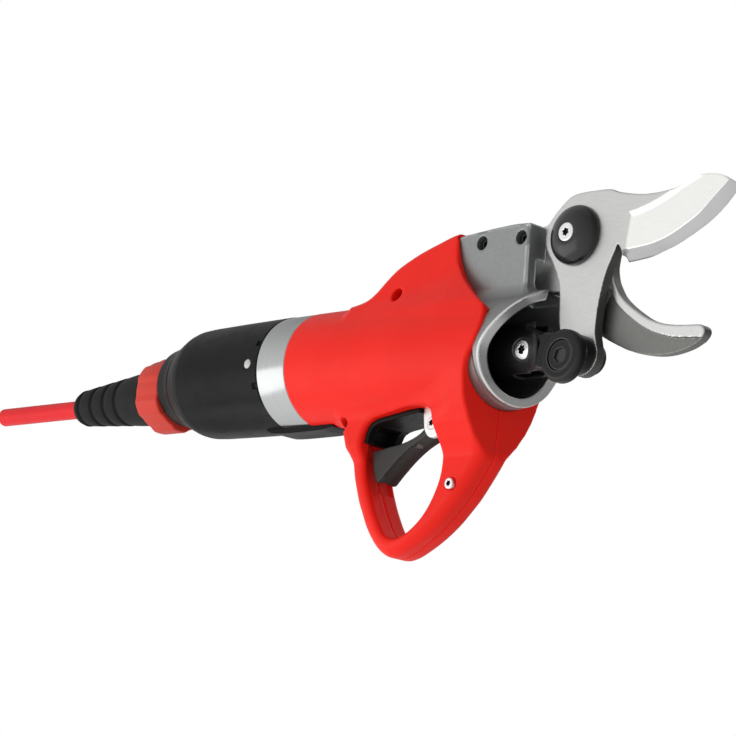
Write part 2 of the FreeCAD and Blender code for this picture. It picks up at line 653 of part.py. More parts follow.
# everything ahead of the shells' front edge
HEAD_WINDOW = [
    (86.6, 60.0), (86.6, 39.8), (88.6, 33.5), (90.4, 29.3), (93.0, 24.7), (97.6, 19.4),
    (102.0, 14.9), (106.1, 13.0), (111.0, 10.8), (112.8, 7.6), (113.0, 5.1), (112.0, 1.9),
    (110.4, -1.5), (108.3, -4.5), (106.4, -8.0), (105.3, -12.0), (105.0, -17.0),
    (105.0, -30.0), (105.5, -36.0), (106.5, -45.0), (150.0, -45.0), (150.0, 60.0)]
# finger opening, from the rear forwards along its ceiling and back along its floor
OPENING = smooth([
    (48.6, -27.5), (49.6, -23.8), (53.0, -21.4), (62.4, -19.9), (70.7, -18.8), (76.3, -18.6),
    (81.3, -19.1), (84.8, -21.0), (86.4, -24.3), (87.3, -28.5), (88.0, -33.5), (88.2, -38.5),
    (87.6, -43.5), (86.0, -47.9), (83.8, -52.2), (80.6, -56.4), (76.1, -60.2), (71.0, -62.9),
    (66.5, -63.5), (62.6, -61.9), (59.6, -58.6), (56.2, -53.4), (53.2, -47.8), (50.6, -41.8),
    (48.9, -35.0), (48.6, -27.5)], 2.2)[:-1]
# its lower part is moved rearwards by up to 1.5 mm
OPENING = [(x - 1.5 * min(1.0, max(0.0, (-22.0 - z) / 14.0)), z) for x, z in OPENING]
# channel in the rear strut for the trigger's tip
CHANNEL = [
    (53.0, -22.3), (46.0, -22.6), (44.2, -26.4), (45.2, -33.5), (47.2, -40.0), (50.0, -46.4),
    (57.0, -46.4), (57.0, -30.0)]
CHEEK = smooth([
    (74.6, -18.0), (75.2, -22.5), (76.2, -26.4), (78.6, -28.8), (81.6, -28.9), (84.0, -27.2),
    (84.8, -24.4), (84.0, -21.0), (82.6, -18.0)], 1.4)


def trigger_loop():
    return prism(LOOP_OUTLINE, -LOOP_HALF_W, LOOP_HALF_W)


def chin():
    """Egg-shaped swelling under the barrel, widening forwards."""
    section = CHIN_SECTION + [(-y, z) for y, z in reversed(CHIN_SECTION[1:])]
    plan = CHIN_PLAN + [(x, -y) for x, y in reversed(CHIN_PLAN)]
    body = prism_x(section, 40.0, 107.4).common(prism_z(plan, -45.0, 2.0))
    return body.common(prism(LOOP_OUTLINE, -30, 30))


def screw_hole(shape, at, seat, head_r, shank_r):
    shape = shape.cut(cyl_y(-30, seat, head_r, *at))
    return shape.cut(cyl_y(seat - 1, SCREW_END, shank_r, *at))


def red_body(liner):
    """Both shells as one body, hollowed and cut out for what they hold."""
    barrel = rev_x([(BAND_L, 0), (BAND_L, 20.4), (BAND_L + 0.6, GRIP_R), (48.0, GRIP_R),
                    (85.0, 21.4), (104.5, 21.6), (116.0, 21.6), (116.0, 0)])
    hump = prism(HUMP_OUTLINE, -HUMP_HALF_W, HUMP_HALF_W)
    red = barrel.fuse([hump, trigger_loop(), chin()]).removeSplitter()
    red = red.cut(prism(HEAD_WINDOW, -40, 40)).cut(fuse(*head_blank()))
    # hollow, leaving a boss around the upper screw
    cavity = fuse(cyl_x(BAND_L - 1, 84.0, SLEEVE_R), prism(HUMP_HOLLOW, -8.6, 8.6))
    red = red.cut(cavity.cut(cyl_y(-HUMP_HALF_W, HUMP_HALF_W, 4.0, *SHELL_SCREWS[0][0])))
    red = red.cut(prism(OPENING, -40, 40))
    red = red.cut(prism(CHANNEL, -CHANNEL_HALF_W, CHANNEL_HALF_W))
    # recess in the ceiling of the opening, for the trigger bracket
    recess = [(74.0, -22.0), (74.0, -16.5), (88.0, -16.5), (88.0, -24.0)]
    red = red.cut(prism(recess, -6.9, 6.9))
    for at, seat in SHELL_SCREWS:
        red = screw_hole(red, at, seat, 2.8, SHELL_SCREW_R)
    red = screw_hole(red, LOOP_SCREW, LOOP_SCREW_SEAT, 2.1, LOOP_SCREW_R)
    bracket_space = fuse(box(73.6, 86.2, -6.9, 6.9, -22.0, -16.6), prism(CHEEK, -6.7, 6.7))
    return red.cut(bracket_space).cut(liner)


def shell_half(red, y0, y1):
    return largest(red.common(box(-20, 200, y0, y1, -100, 100)))


def shell_screws():
    return Part.makeCompound([
        socket_screw(at, seat - 2.2, seat, SCREW_END, 2.7, SHELL_SCREW_R, 2.5, seat - 0.7)
        for at, seat in SHELL_SCREWS])


# ---------------------------------------------------------------- trigger group
TRIGGER_HALF_W = 4.4
TRIGGER_TOP = smooth([
    (48.4, -31.8), (52.5, -31.2), (56.5, -30.6), (62.4, -29.8), (68.2, -28.2), (72.7, -25.9),
    (75.6, -22.4), (79.5, -20.2)], 2.0)
TRIGGER_FACE = smooth([
    (80.0, -27.6), (77.1, -28.4), (70.6, -31.0), (64.7, -34.9), (58.9, -39.9), (55.4, -43.0),
    (53.6, -43.9), (52.0, -43.2), (50.6, -40.0), (49.4, -36.4), (48.4, -31.8)], 2.0)


def inset(points, distance):
    """Path moved sideways, square to the line between each point's neighbours."""
    moved = []
    for i, (x, z) in enumerate(points):
        before, after = points[max(i - 1, 0)], points[min(i + 1, len(points) - 1)]
        run, rise = after[0] - before[0], after[1] - before[1]
        length = math.hypot(run, rise)
        moved.append((x + rise / length * distance, z - run / length * distance))
    return moved


def trigger_liner():
    """Strip along the opening's upper rear corner, with a pocket in the channel."""
    half = len(OPENING) // 2
    first = next(i for i, (x, z) in enumerate(OPENING) if i > half and z > -32.0 and x < 60.0)
    path = OPENING[first:] + [point for point in OPENING[:half] if point[0] < 75.0]
    liner = prism(path + inset(path, 1.7)[::-1], -LINER_HALF_W, LINER_HALF_W)
    pocket = prism(CHANNEL, -CHANNEL_HALF_W, CHANNEL_HALF_W).cut(prism(OPENING, -40, 40))
    hollow = [(60.0, -22.4), (47.2, -24.0), (45.8, -27.0), (46.6, -33.0), (49.1, -39.6),
              (51.9, -46.4), (51.9, -50.0), (60.0, -50.0)]
    return largest(liner.fuse(pocket).cut(prism(hollow, -4.9, 4.9)))


def trigger():
    outline = TRIGGER_TOP + arc(*TRIGGER_PIN, 3.6, 60, -60, 8) + TRIGGER_FACE[:-1]
    body = prism(outline, -TRIGGER_HALF_W, TRIGGER_HALF_W)
    body = body.cut(hole_y(TRIGGER_PIN_R + RUN, TRIGGER_PIN))
    # left side of the hub is cut back for the coil spring, then the magnet's slot
    body = body.cut(cyl_y(1.7, 10, 4.4, *TRIGGER_PIN))
    return body.cut(box(65.0, 68.0, -1.5, 1.5, -30.6, -20.0))


def trigger_bracket():
    bracket = fuse(prism(CHEEK, -6.6, -4.7), prism(CHEEK, 4.7, 6.6),
                   box(76.0, 82.0, -6.6, 6.6, -18.6, -17.0))
    bracket = bracket.cut(hole_y(TRIGGER_PIN_R, TRIGGER_PIN))
    return bracket.cut(cyl_y(-10, -6.0, 2.3, *TRIGGER_PIN))


def trigger_spring():
    spring = coil(0.75, 2.2, 2.9, 0.3)
    turn_x(spring, -90)
    spring.translate(Vector(TRIGGER_PIN[0], 2.05, TRIGGER_PIN[1]))
    return spring


def trigger_sensor():
    """Small board with two components on top."""
    return fuse(box(60.0, 72.0, -5.0, 5.0, -17.4, -16.2), box(65.0, 68.0, -1.5, 1.5, -16.2, -15.0),
                box(61.0, 63.0, -4.0, 4.0, -16.2, -15.2))


# ---------------------------------------------------------------- control board and keel
def control_board():
    """Round board with three components in front and one behind."""
    return fuse(cyl_x(-55.6, -54.0, 14.4),
                box(-54.0, -51.8, -5.0, 3.0, 2.0, 9.0), box(-54.0, -52.4, -9.0, -3.0, -9.0, -4.0),
                box(-54.0, -50.6, 3.0, 8.0, -8.0, -3.0), box(-57.0, -55.6, -3.5, 3.5, -6.0, 6.0))


def keel_strip(red, cap):
    """Strip under the band, trimmed to the cap, the band and the grip."""
    outline = smooth([(-9.0, -21.2), (-6.0, -22.2), (-1.0, -22.7), (14.0, -22.7),
                      (22.0, -22.5), (27.0, -21.6)], 2.5) + [(27.0, -17.0), (-9.0, -17.0)]
    keel = prism(outline, -5.4, 5.4)
    keel = keel.cut(rev_x([(-60, 0), (-24.0, 21.25), (0.0, CAP_R), (0.0, 0.0)]))
    keel = keel.cut(cyl_x(-1.0, BAND_L + 0.1, GRIP_R)).cut(cyl_x(0, 60, GRIP_R))
    keel = keel.cut(red).cut(cap)
    return largest(keel.cut(box(BAND_L, 60, -9, 9, -30, 0).common(trigger_loop())))


# ---------------------------------------------------------------- build and write
cores = cable_cores()
pins = contact_pins()
cap = rear_cap()
liner = trigger_liner()
red = red_body(liner)

parts = {
    "power_cable": power_cable(cores),
    "cable_cores": Part.makeCompound(cores),
    "strain_relief_boot": strain_relief_boot(),
    "plug_insert": plug_insert(),
    "connector_socket": connector_socket(pins),
    "contact_pins": Part.makeCompound(pins),
    "locking_ring": locking_ring(),
    "rear_cap": cap,
    "status_lens": status_lens(),
    "motor_sleeve": motor_sleeve(),
    "motor_can": motor_can(),
    "stator_core": stator_core(),
    "stator_coils": stator_coils(),
    "motor_rotor": motor_rotor(),
    "rear_bearing": bearing(-47.6, -43.2, BEARING_R, SHAFT_R + RUN, 6.8, 4.4),
    "bearing_block": bearing_block(),
    "front_bearing": bearing(9.8, 19.8, FRONT_BEARING_R, SCREW_R + RUN, 9.4, 5.8),
    "drive_screw": drive_screw(),
    "ball_nut": tube_x(NUT_REAR, NUT_FRONT, NUT_R, SCREW_R + RUN),
    "push_rod": push_rod(),
    "rod_pin": rod_pin(),
    "link_clevis": link_clevis(),
    "tail_pin": socket_screw(TAIL_PIN, -12.2, -11.2, 2.6, 5.2, TAIL_PIN_R, 4.0, -10.2, 15),
    "cutting_blade": cutting_blade(),
    "anvil_blade": anvil_blade(),
    "pivot_bolt": pivot_bolt(),
    "pivot_nut": pivot_nut(),
    "dome_cap": rev_y(DOME_PROFILE, *PIVOT),
    "dome_screw": socket_screw(PIVOT, -9.5, DOME_SEAT, -2.4, 3.3, DOME_SCREW_R, 2.6, -8.4, 10),
    "head_housing": head_housing(),
    "head_screws": head_screws(),
    "rod_guide_bush": tube_x(HEAD_REAR, 89.4, MOUTH_BORE_R, ROD_R + RUN),
    "wiper_seal": wiper_seal(),
    "shell_screws": shell_screws(),
    "loop_screw": socket_screw(LOOP_SCREW, -8.4, LOOP_SCREW_SEAT, 6.4, 2.0, LOOP_SCREW_R,
                               2.0, -7.4),
    "trigger": trigger(),
    "trigger_magnet": box(65.0, 68.0, -1.5, 1.5, -30.6, -29.2),
    "trigger_bracket": trigger_bracket(),
    "trigger_liner": liner,
    "trigger_pin": socket_screw(TRIGGER_PIN, -6.9, -6.0, 6.6, 2.25, TRIGGER_PIN_R, 2.0, -6.2),
    "trigger_spring": trigger_spring(),
    "trigger_sensor": trigger_sensor(),
    "right_shell": shell_half(red, -60, 0),
    "left_shell": shell_half(red, 0, 60),
    "control_board": control_board(),
    "keel_strip": keel_strip(red, cap),
}

for name, shape in parts.items():
    placed = shape.copy()
    placed.translate(SHIFT)
    placed.exportStep("parts/%s.step" % name)
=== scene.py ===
# Electric pruning shears on a cable: red handle shells round a motor tube, an aluminium head with
# a hooked anvil, and a blade swung by a push rod and a link.
# Drawing frame, in millimetres: x runs forward along the drive axis from the rear face of the
# aluminium band, z is up from the drive axis, and the near (camera) side is -y.
import json
import math
from functools import reduce
import bpy
import numpy as np
from mathutils import Matrix, Vector


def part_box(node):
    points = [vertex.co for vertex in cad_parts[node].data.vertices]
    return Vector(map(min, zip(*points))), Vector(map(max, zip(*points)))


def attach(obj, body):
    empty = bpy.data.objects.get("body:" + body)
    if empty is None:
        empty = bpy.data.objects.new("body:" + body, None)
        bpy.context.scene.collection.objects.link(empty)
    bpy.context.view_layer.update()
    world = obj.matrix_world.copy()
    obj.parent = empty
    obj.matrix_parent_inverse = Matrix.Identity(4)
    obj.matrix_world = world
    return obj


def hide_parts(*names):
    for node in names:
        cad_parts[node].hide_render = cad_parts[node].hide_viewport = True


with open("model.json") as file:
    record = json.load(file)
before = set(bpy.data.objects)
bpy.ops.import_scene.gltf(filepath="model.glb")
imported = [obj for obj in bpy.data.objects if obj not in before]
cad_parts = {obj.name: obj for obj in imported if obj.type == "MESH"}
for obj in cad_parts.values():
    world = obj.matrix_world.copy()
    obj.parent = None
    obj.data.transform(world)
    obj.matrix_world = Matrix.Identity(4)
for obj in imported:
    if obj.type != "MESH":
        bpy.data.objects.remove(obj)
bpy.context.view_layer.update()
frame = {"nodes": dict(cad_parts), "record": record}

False

BAND_FRONT = 15.0      # the visible band runs from x = 0 to here
SLEEVE_REAR = -25.0    # rear end of the motor sleeve that carries the band
SLEEVE_RADIUS = 18.6
HEAD_RADIUS = 19.5     # tube of the aluminium head
HEAD_REAR = 84.0
ANVIL_THICK = 4.5      # from y = 0 to the far side
BLADE_THICK = 4.0      # from y = 0 to the near side
CAP_REAR = -66.5
BOOT_FRONT, BOOT_REAR = -80.0, -130.5
CONNECTOR_Z, CABLE_Z = -2.5, -4.0

# Pin and screw centres (x, z)
ROD_PIN = (121.4, -2.0)
TAIL_PIN = (144.4, -5.0)
PIVOT = (137.0, 36.5)
TRIGGER_PIN = (79.5, -23.8)
LOOP_SCREW = (92.6, -45.8)
HEAD_HOLES = [(97.7, 37.1), (116.2, 37.1)]
SHELL_SCREWS = [((62.6, 21.2), -6.4), ((37.8, -22.4), -4.6)]  # centre, y of the seat

# Shift from the drawing frame to the row frame
sleeve_low, sleeve_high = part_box("motor_sleeve")
SHIFT_X = sleeve_low.x * 1000.0 - SLEEVE_REAR
SHIFT_Z = (sleeve_low.z + sleeve_high.z) * 500.0


# ---- Signed distance fields, negative inside ----

class Grid:
    """Sample points from low to high, pitch apart, as three axes that broadcast together."""

    def __init__(self, low, high, pitch):
        self.pitch = pitch
        self.low = np.array(low, float)
        self.count = [int(math.ceil((b - a) / pitch)) + 1 for a, b in zip(low, high)]
        shapes = ((-1, 1, 1), (1, -1, 1), (1, 1, -1))
        self.axes = [(start + pitch * np.arange(n)).reshape(shape).astype(np.float32)
                     for start, n, shape in zip(low, self.count, shapes)]

    def poly(self, outline):
        """Distance to a closed x-z outline."""
        x, _, z = self.axes
        return poly_distance(x[:, 0, :], z[:, 0, :], outline)[:, None, :]

    def line(self, points):
        """Unsigned distance to an open x-z line."""
        x, _, z = self.axes
        return line_distance(x[:, 0, :], z[:, 0, :], points)[:, None, :]

    def pin(self, centre, radius=0.0):
        """Cylinder along y; with no radius, the distance from its axis."""
        x, _, z = self.axes
        return np.sqrt((x - centre[0]) ** 2 + (z - centre[1]) ** 2) - radius

    def axial(self):
        """Distance from the drive axis."""
        _, y, z = self.axes
        return np.sqrt(y * y + z * z)


def line_distance(across, up, points):
    across, up = np.broadcast_arrays(across, up)
    squared = np.full(across.shape, 1e9, np.float32)
    points = np.array(points, np.float32)
    for (x0, z0), (x1, z1) in zip(points[:-1], points[1:]):
        run, rise = x1 - x0, z1 - z0
        length2 = run * run + rise * rise
        if length2 < 1e-9:
            continue
        part = np.clip(((across - x0) * run + (up - z0) * rise) / length2, 0, 1)
        squared = np.minimum(
            squared, (across - x0 - part * run) ** 2 + (up - z0 - part * rise) ** 2)
    return np.sqrt(squared)


def poly_distance(across, up, points):
    distance = line_distance(across, up, points + points[:1])
    inside = np.zeros(distance.shape, bool)
    for (x0, z0), (x1, z1) in zip(points, points[1:] + points[:1]):
        if z0 != z1:
            edge_x = (x1 - x0) * (up - z0) / (z1 - z0) + x0
            inside ^= ((z0 > up) != (z1 > up)) & (across < edge_x)
    return np.where(inside, -distance, distance)


def common(*fields):
    return reduce(np.maximum, fields)


def union(*fields):
    return reduce(np.minimum, fields)


def between(value, low, high):
    return np.maximum(low - value, value - high)


def round_common(field, other, radius):
    """Intersection whose edge is rounded to radius (number or array)."""
    u, v = field + radius, other + radius
    outside = np.sqrt(np.maximum(u, 0) ** 2 + np.maximum(v, 0) ** 2)
    return outside + np.minimum(np.maximum(u, v), 0) - radius


def round_union(field, other, radius):
    """Union whose inner corner is filled to radius."""
    return -round_common(-field, -other, radius)


def chamfer_common(field, other, leg):
    """Intersection whose edge carries a 45 degree chamfer."""
    return common(field, other, (field + other + leg) * 0.70711)


def soft_union(field, other, reach):
    part = np.clip(0.5 + 0.5 * (other - field) / reach, 0, 1)
    return other * (1 - part) + field * part - reach * part * (1 - part)


def soft_common(field, other, reach):
    return -soft_union(-field, -other, reach)


def cut(field, tool, radius=None):
    """Take tool away; a radius rounds the rim of the cut."""
    if radius is None:
        return np.maximum(field, -tool)
    return round_common(field, -tool, radius)


def profile(axis, table):
    """Value along a grid axis, interpolated in a table of (place, value)."""
    return np.interp(axis.ravel(), *zip(*table)).reshape(axis.shape)


def smooth(points, step=1.2):
    """Catmull-Rom curve through open points, sampled at about step."""
    curve, last = [], len(points) - 1
    for i in range(last):
        start, end = points[i], points[i + 1]
        before, after = points[max(i - 1, 0)], points[min(i + 2, last)]
        count = max(1, int(round(math.hypot(end[0] - start[0], end[1] - start[1]) / step)))
        for j in range(count):
            t = j / count
            curve.append(tuple(
                0.5 * ((2 * b) + (-a + c) * t + (2 * a - 5 * b + 4 * c - d) * t * t
                       + (-a + 3 * b - 3 * c + d) * t ** 3)
                for a, b, c, d in zip(before, start, end, after)))
    curve.append(tuple(points[-1]))
    return curve


def arc(centre, radius, start, end, count=24):
    turns = [math.radians(start + (end - start) * i / count) for i in range(count + 1)]
    return [(centre[0] + radius * math.cos(t), centre[1] + radius * math.sin(t)) for t in turns]


def hexagon(centre, across, turn):
    return arc(centre, across / math.sqrt(3), turn, turn + 360, 6)[:-1]


# ---- Meshes ----

def contour(field, grid):
    """Dual contouring: vertices in mm, quads, and the convexity at each vertex."""
    field = np.ascontiguousarray(np.broadcast_to(field, grid.count), dtype=np.float32)
    field = np.where(np.abs(field) < 1e-5, 1e-5, field)
    slopes = np.gradient(field, grid.pitch)
    laplacian = sum(np.gradient(slopes[k], grid.pitch, axis=k) for k in range(3))
    shape = tuple(n - 1 for n in grid.count)
    strides = np.array([shape[1] * shape[2], shape[2], 1])
    inside = field < 0
    cells, points, normals, bends, quads = [], [], [], [], []
    for axis in range(3):
        first, second = [strides[k] for k in range(3) if k != axis]
        step = np.eye(3, dtype=int)[axis]
        window = [slice(1, -1)] * 3
        window[axis] = slice(None)
        start = np.argwhere(np.diff(inside, axis=axis)[tuple(window)]) + (1 - step)
        at_start, at_end = tuple(start.T), tuple((start + step).T)
        part = field[at_start] / (field[at_start] - field[at_end])

        def crossing(values):
            return values[at_start] * (1 - part) + values[at_end] * part

        normal = np.stack([crossing(slope) for slope in slopes], 1)
        normal /= np.maximum(np.linalg.norm(normal, axis=1, keepdims=True), 1e-9)
        # the four cells round each crossed grid edge
        around = (start @ strides)[:, None] + np.array([-first - second, -second, 0, -first])
        outward = inside[at_start] if axis != 1 else ~inside[at_start]
        quads.append(np.where(outward[:, None], around, around[:, ::-1]))
        cells.append(around.T.ravel())
        points.append(np.tile(start + step * part[:, None], (4, 1)))
        normals.append(np.tile(normal, (4, 1)))
        bends.append(np.tile(crossing(laplacian), 4))
    points, normals, quads = (np.concatenate(part) for part in (points, normals, quads))
    used, owner = np.unique(np.concatenate(cells), return_inverse=True)
    count = np.bincount(owner).astype(float)

    def total(weights):
        return np.bincount(owner, weights=weights)

    mass = np.stack([total(points[:, k]) for k in range(3)], 1) / count[:, None]
    # least-squares corner of the tangent planes, held near the mean crossing
    matrix = np.zeros((len(used), 3, 3))
    for i in range(3):
        for j in range(i, 3):
            matrix[:, i, j] = matrix[:, j, i] = total(normals[:, i] * normals[:, j])
    gap = np.einsum("ij,ij->i", normals, points - mass[owner])
    right = np.stack([total(normals[:, k] * gap) for k in range(3)], 1)
    matrix += np.eye(3)[None] * (0.06 * count)[:, None, None]
    offset = np.linalg.solve(matrix, right[:, :, None])[:, :, 0]
    base = np.stack(np.unravel_index(used, shape), 1)
    place_in_grid = np.clip(mass + np.clip(offset, -0.8, 0.8), base - 0.02, base + 1.02)
    quads = np.searchsorted(used, quads.ravel()).reshape(-1, 4)
    convex = total(np.concatenate(bends)) / count
    return place_in_grid * grid.pitch + grid.low, quads, convex


def mark(obj, name, values):
    """Store one number per vertex for the shaders."""
    attribute = obj.data.attributes.new(name, "FLOAT", "POINT")
    attribute.data.foreach_set("value", values.astype(np.float32))


def mesh_object(name, verts, quads, angle, convex=None):
    mesh = bpy.data.meshes.new(name)
    metres = ((verts + (SHIFT_X, 0, SHIFT_Z)) / 1000.0).astype(np.float32)
    mesh.vertices.add(len(metres))
    mesh.vertices.foreach_set("co", metres.ravel())
    mesh.loops.add(quads.size)
    mesh.loops.foreach_set("vertex_index", quads.astype(np.int32).ravel())
    mesh.polygons.add(len(quads))
    mesh.polygons.foreach_set("loop_start", np.arange(0, quads.size, 4, dtype=np.int32))
    mesh.polygons.foreach_set("loop_total", np.full(len(quads), 4, np.int32))
    mesh.update(calc_edges=True)
    mesh.validate(clean_customdata=False)
    mesh.shade_smooth()
    obj = bpy.data.objects.new(name, mesh)
    if convex is not None:
        mark(obj, "convex", np.clip(convex, -4, 4))
    mesh.set_sharp_from_angle(angle=math.radians(angle))
    return obj


def carved(name, field, grid, angle=40):
    verts, quads, convex = contour(field, grid)
    return mesh_object(name, verts, quads, angle, convex)


def lathe(name, outline, segments, axis="x", centre=(0.0, 0.0), sag=None, lobes=None, angle=32):
    """Turned ring from a closed (along, radius) outline. centre is (y, z), or (x, z) for axis y;
    sag(along) lifts the axis and lobes(turn) scales the radius."""
    verts = []
    for along, radius in outline:
        lift = sag(along) if sag else 0
        for i in range(segments):
            turn = 2 * math.pi * i / segments
            reach = radius * (lobes(turn) if lobes else 1.0)
            side = centre[0] + reach * math.sin(turn)
            up = centre[1] + lift + reach * math.cos(turn)
            verts.append((along, side, up) if axis == "x" else (side, along, up))
    verts = np.array(verts)
    starts = [k * segments for k in range(len(outline))]
    quads = np.array([(a + i, a + (i + 1) % segments, b + (i + 1) % segments, b + i)
                      for a, b in zip(starts, starts[1:] + starts[:1])
                      for i in range(segments)])
    corner = verts[quads]
    fan = np.cross(corner[:, 1], corner[:, 2]) + np.cross(corner[:, 2], corner[:, 3])
    if np.sum(corner[:, 0] * fan) < 0:  # a negative volume means the winding faces inward
        quads = quads[:, ::-1]
    return mesh_object(name, verts, quads, angle)


# ---- Materials ----

class Nodes:
    """A cleared node tree and short ways to add to it."""

    def __init__(self, block):
        block.use_nodes = True
        self.tree = block.node_tree
        self.tree.nodes.clear()

    def feed(self, socket, value):
        if isinstance(value, bpy.types.NodeSocket):
            self.tree.links.new(value, socket)
        elif socket.type == "RGBA":
            socket.default_value = (*value, 1.0)
        else:
            socket.default_value = value

    def node(self, kind, inputs=None, **settings):
        node = self.tree.nodes.new(kind)
        for name, value in settings.items():
            setattr(node, name, value)
        for key, value in (inputs or {}).items():
            self.feed(node.inputs[key], value)
        return node

    def remap(self, value, span, to, smooth=False):
        return self.node(
            "ShaderNodeMapRange",
            {"From Min": span[0], "From Max": span[1], "To Min": to[0], "To Max": to[1],
             "Value": value},
            interpolation_type="SMOOTHSTEP" if smooth else "LINEAR").outputs["Result"]

    def math(self, operation, first, second, clamp=False):
        return self.node("ShaderNodeMath", {0: first, 1: second},
                         operation=operation, use_clamp=clamp).outputs[0]


class Material(Nodes):
    """One Principled shader; its textures run in object space, in metres."""

    def __init__(self, name):
        self.block = bpy.data.materials.new(name)
        super().__init__(self.block)
        self.shader = self.node("ShaderNodeBsdfPrincipled")
        self.output = self.node("ShaderNodeOutputMaterial", {0: self.shader.outputs[0]})
        self.space = self.node("ShaderNodeTexCoord").outputs["Object"]

    def scaled(self, scale):
        return self.node("ShaderNodeMapping",
                         {"Scale": scale, "Vector": self.space}).outputs[0]

    def noise(self, scale, detail=4.0, rough=0.55, vector=None, distortion=0.0):
        return self.node("ShaderNodeTexNoise", {
            "Scale": scale, "Detail": detail, "Roughness": rough, "Distortion": distortion,
            "Vector": vector or self.space}).outputs["Fac"]

    def mix(self, factor, first, second):
        return self.node("ShaderNodeMix", {0: factor, 6: first, 7: second},
                         data_type="RGBA").outputs[2]

    def attribute(self, name):
        return self.node("ShaderNodeAttribute", attribute_name=name).outputs["Fac"]

    def bump(self, height, strength, distance):
        bump = self.node("ShaderNodeBump",
                         {"Strength": strength, "Distance": distance, "Height": height})
        self.feed(self.shader.inputs["Normal"], bump.outputs[0])

    def set(self, **inputs):
        for name, value in inputs.items():
            self.feed(self.shader.inputs[name.replace("_", " ")], value)


def tint(color, gain, lift=0.0):
    return tuple(min(1.0, c * gain + lift) for c in color)


def plastic(name, base, rough=0.42, grain=2600.0, depth=0.00002, strength=0.25, variation=0.10,
            edge=0.12, coat=0.0, specular=0.5):
    """Moulded plastic: slow colour drift, fine grain, faint scuffs, paler convex edges."""
    mat = Material(name)
    slow = mat.noise(scale=22.0, detail=3.0)
    fine = mat.noise(scale=grain, detail=2.0, rough=0.6)
    scuff = mat.noise(scale=130.0, detail=6.0, rough=0.7, vector=mat.scaled((1.0, 2.6, 1.0)),
                      distortion=0.6)
    color = mat.mix(mat.remap(slow, span=(0.32, 0.68), to=(0, 1), smooth=True),
                    tint(base, 1 - variation), tint(base, 1 + variation * 0.7, lift=0.002))
    paler_edges = mat.remap(mat.attribute("convex"), span=(0.25, 1.4), to=(0.0, edge), smooth=True)
    color = mat.mix(paler_edges, color, tint(base, 1.12, lift=0.012))
    roughness = mat.math(
        "ADD", mat.remap(scuff, span=(0.35, 0.75), to=(rough - 0.05, rough + 0.09)),
        mat.remap(fine, span=(0.3, 0.7), to=(-0.02, 0.03)))
    mat.set(Base_Color=color, Roughness=roughness, Specular_IOR_Level=specular,
            Coat_Weight=coat, Coat_Roughness=0.25)
    height = mat.math("ADD", mat.math("MULTIPLY", fine, 0.8), mat.math("MULTIPLY", scuff, 0.2))
    mat.bump(height, strength, depth)
    return mat.block


def metal(name, base, rough=0.3, along=(1, 1, 1), scale=90.0, streak=0.25, aniso=0.0,
          strength=0.12, depth=0.00001, metallic=1.0, edge=0.0, edge_color=None, tones=()):
    """Worked metal: noise stretched along the tool marks drives colour, roughness and relief.
    tones lists (vertex attribute, colour, roughness) for differently finished areas, and for
    painted light or painted shade on some areas."""
    mat = Material(name)
    vector = mat.scaled(along)
    coarse = mat.noise(scale=scale, detail=5.0, rough=0.65, vector=vector)
    fine = mat.noise(scale=scale * 5.3, detail=3.0, rough=0.6, vector=vector)
    blotch = mat.noise(scale=60.0, detail=4.0)
    marks = mat.math("ADD", mat.math("MULTIPLY", coarse, 0.65),
                     mat.math("MULTIPLY", fine, 0.35))
    light = mat.remap(marks, span=(0.3, 0.7), to=(0, 1))
    color = mat.mix(light, tint(base, 1 - streak), tint(base, 1 + streak * 0.5))
    color = mat.mix(mat.remap(blotch, span=(0.35, 0.7), to=(0.0, 0.25)), color,
                    tint(base, 0.86))
    roughness = mat.math(
        "ADD", mat.remap(marks, span=(0.3, 0.7), to=(rough - 0.06, rough + 0.08)),
        mat.remap(blotch, span=(0.3, 0.7), to=(-0.03, 0.04)))
    # edge and edge_color make convex edges paler and glossier; on the head casting this is
    # painted highlight along its chamfered edges
    if edge > 0:
        paler_edges = mat.remap(mat.attribute("convex"), span=(0.3, 1.2), to=(0.0, edge), smooth=True)
        color = mat.mix(paler_edges, color, edge_color)
        polish = mat.math("MULTIPLY", paler_edges, rough * 0.5)
        roughness = mat.math("SUBTRACT", roughness, polish, clamp=True)
    for name, tone, tone_rough in tones:
        area_mask = mat.attribute(name)
        color = mat.mix(area_mask, color, mat.mix(light, tint(tone, 1 - streak * 0.5), tone))
        change = mat.math("MULTIPLY", area_mask, tone_rough - rough)
        roughness = mat.math("ADD", roughness, change, clamp=True)
    mat.set(Base_Color=color, Roughness=roughness, Metallic=metallic, Anisotropic=aniso)
    mat.bump(mat.math("ADD", marks, mat.math("MULTIPLY", blotch, 0.15)), strength, depth)
    return mat.block


def clear_lens():
    mat = Material("mat_clear_lens")
    cloud = mat.noise(scale=400.0, detail=3.0)
    color = mat.mix(mat.remap(cloud, span=(0.3, 0.7), to=(0, 1)),
                    (0.72, 0.74, 0.70), (0.92, 0.93, 0.90))
    mat.set(Base_Color=color, Roughness=mat.remap(cloud, span=(0.3, 0.7), to=(0.08, 0.18)),
            Transmission_Weight=0.35, IOR=1.49, Coat_Weight=0.4)
    mat.bump(cloud, strength=0.1, distance=0.00001)
    return mat.block


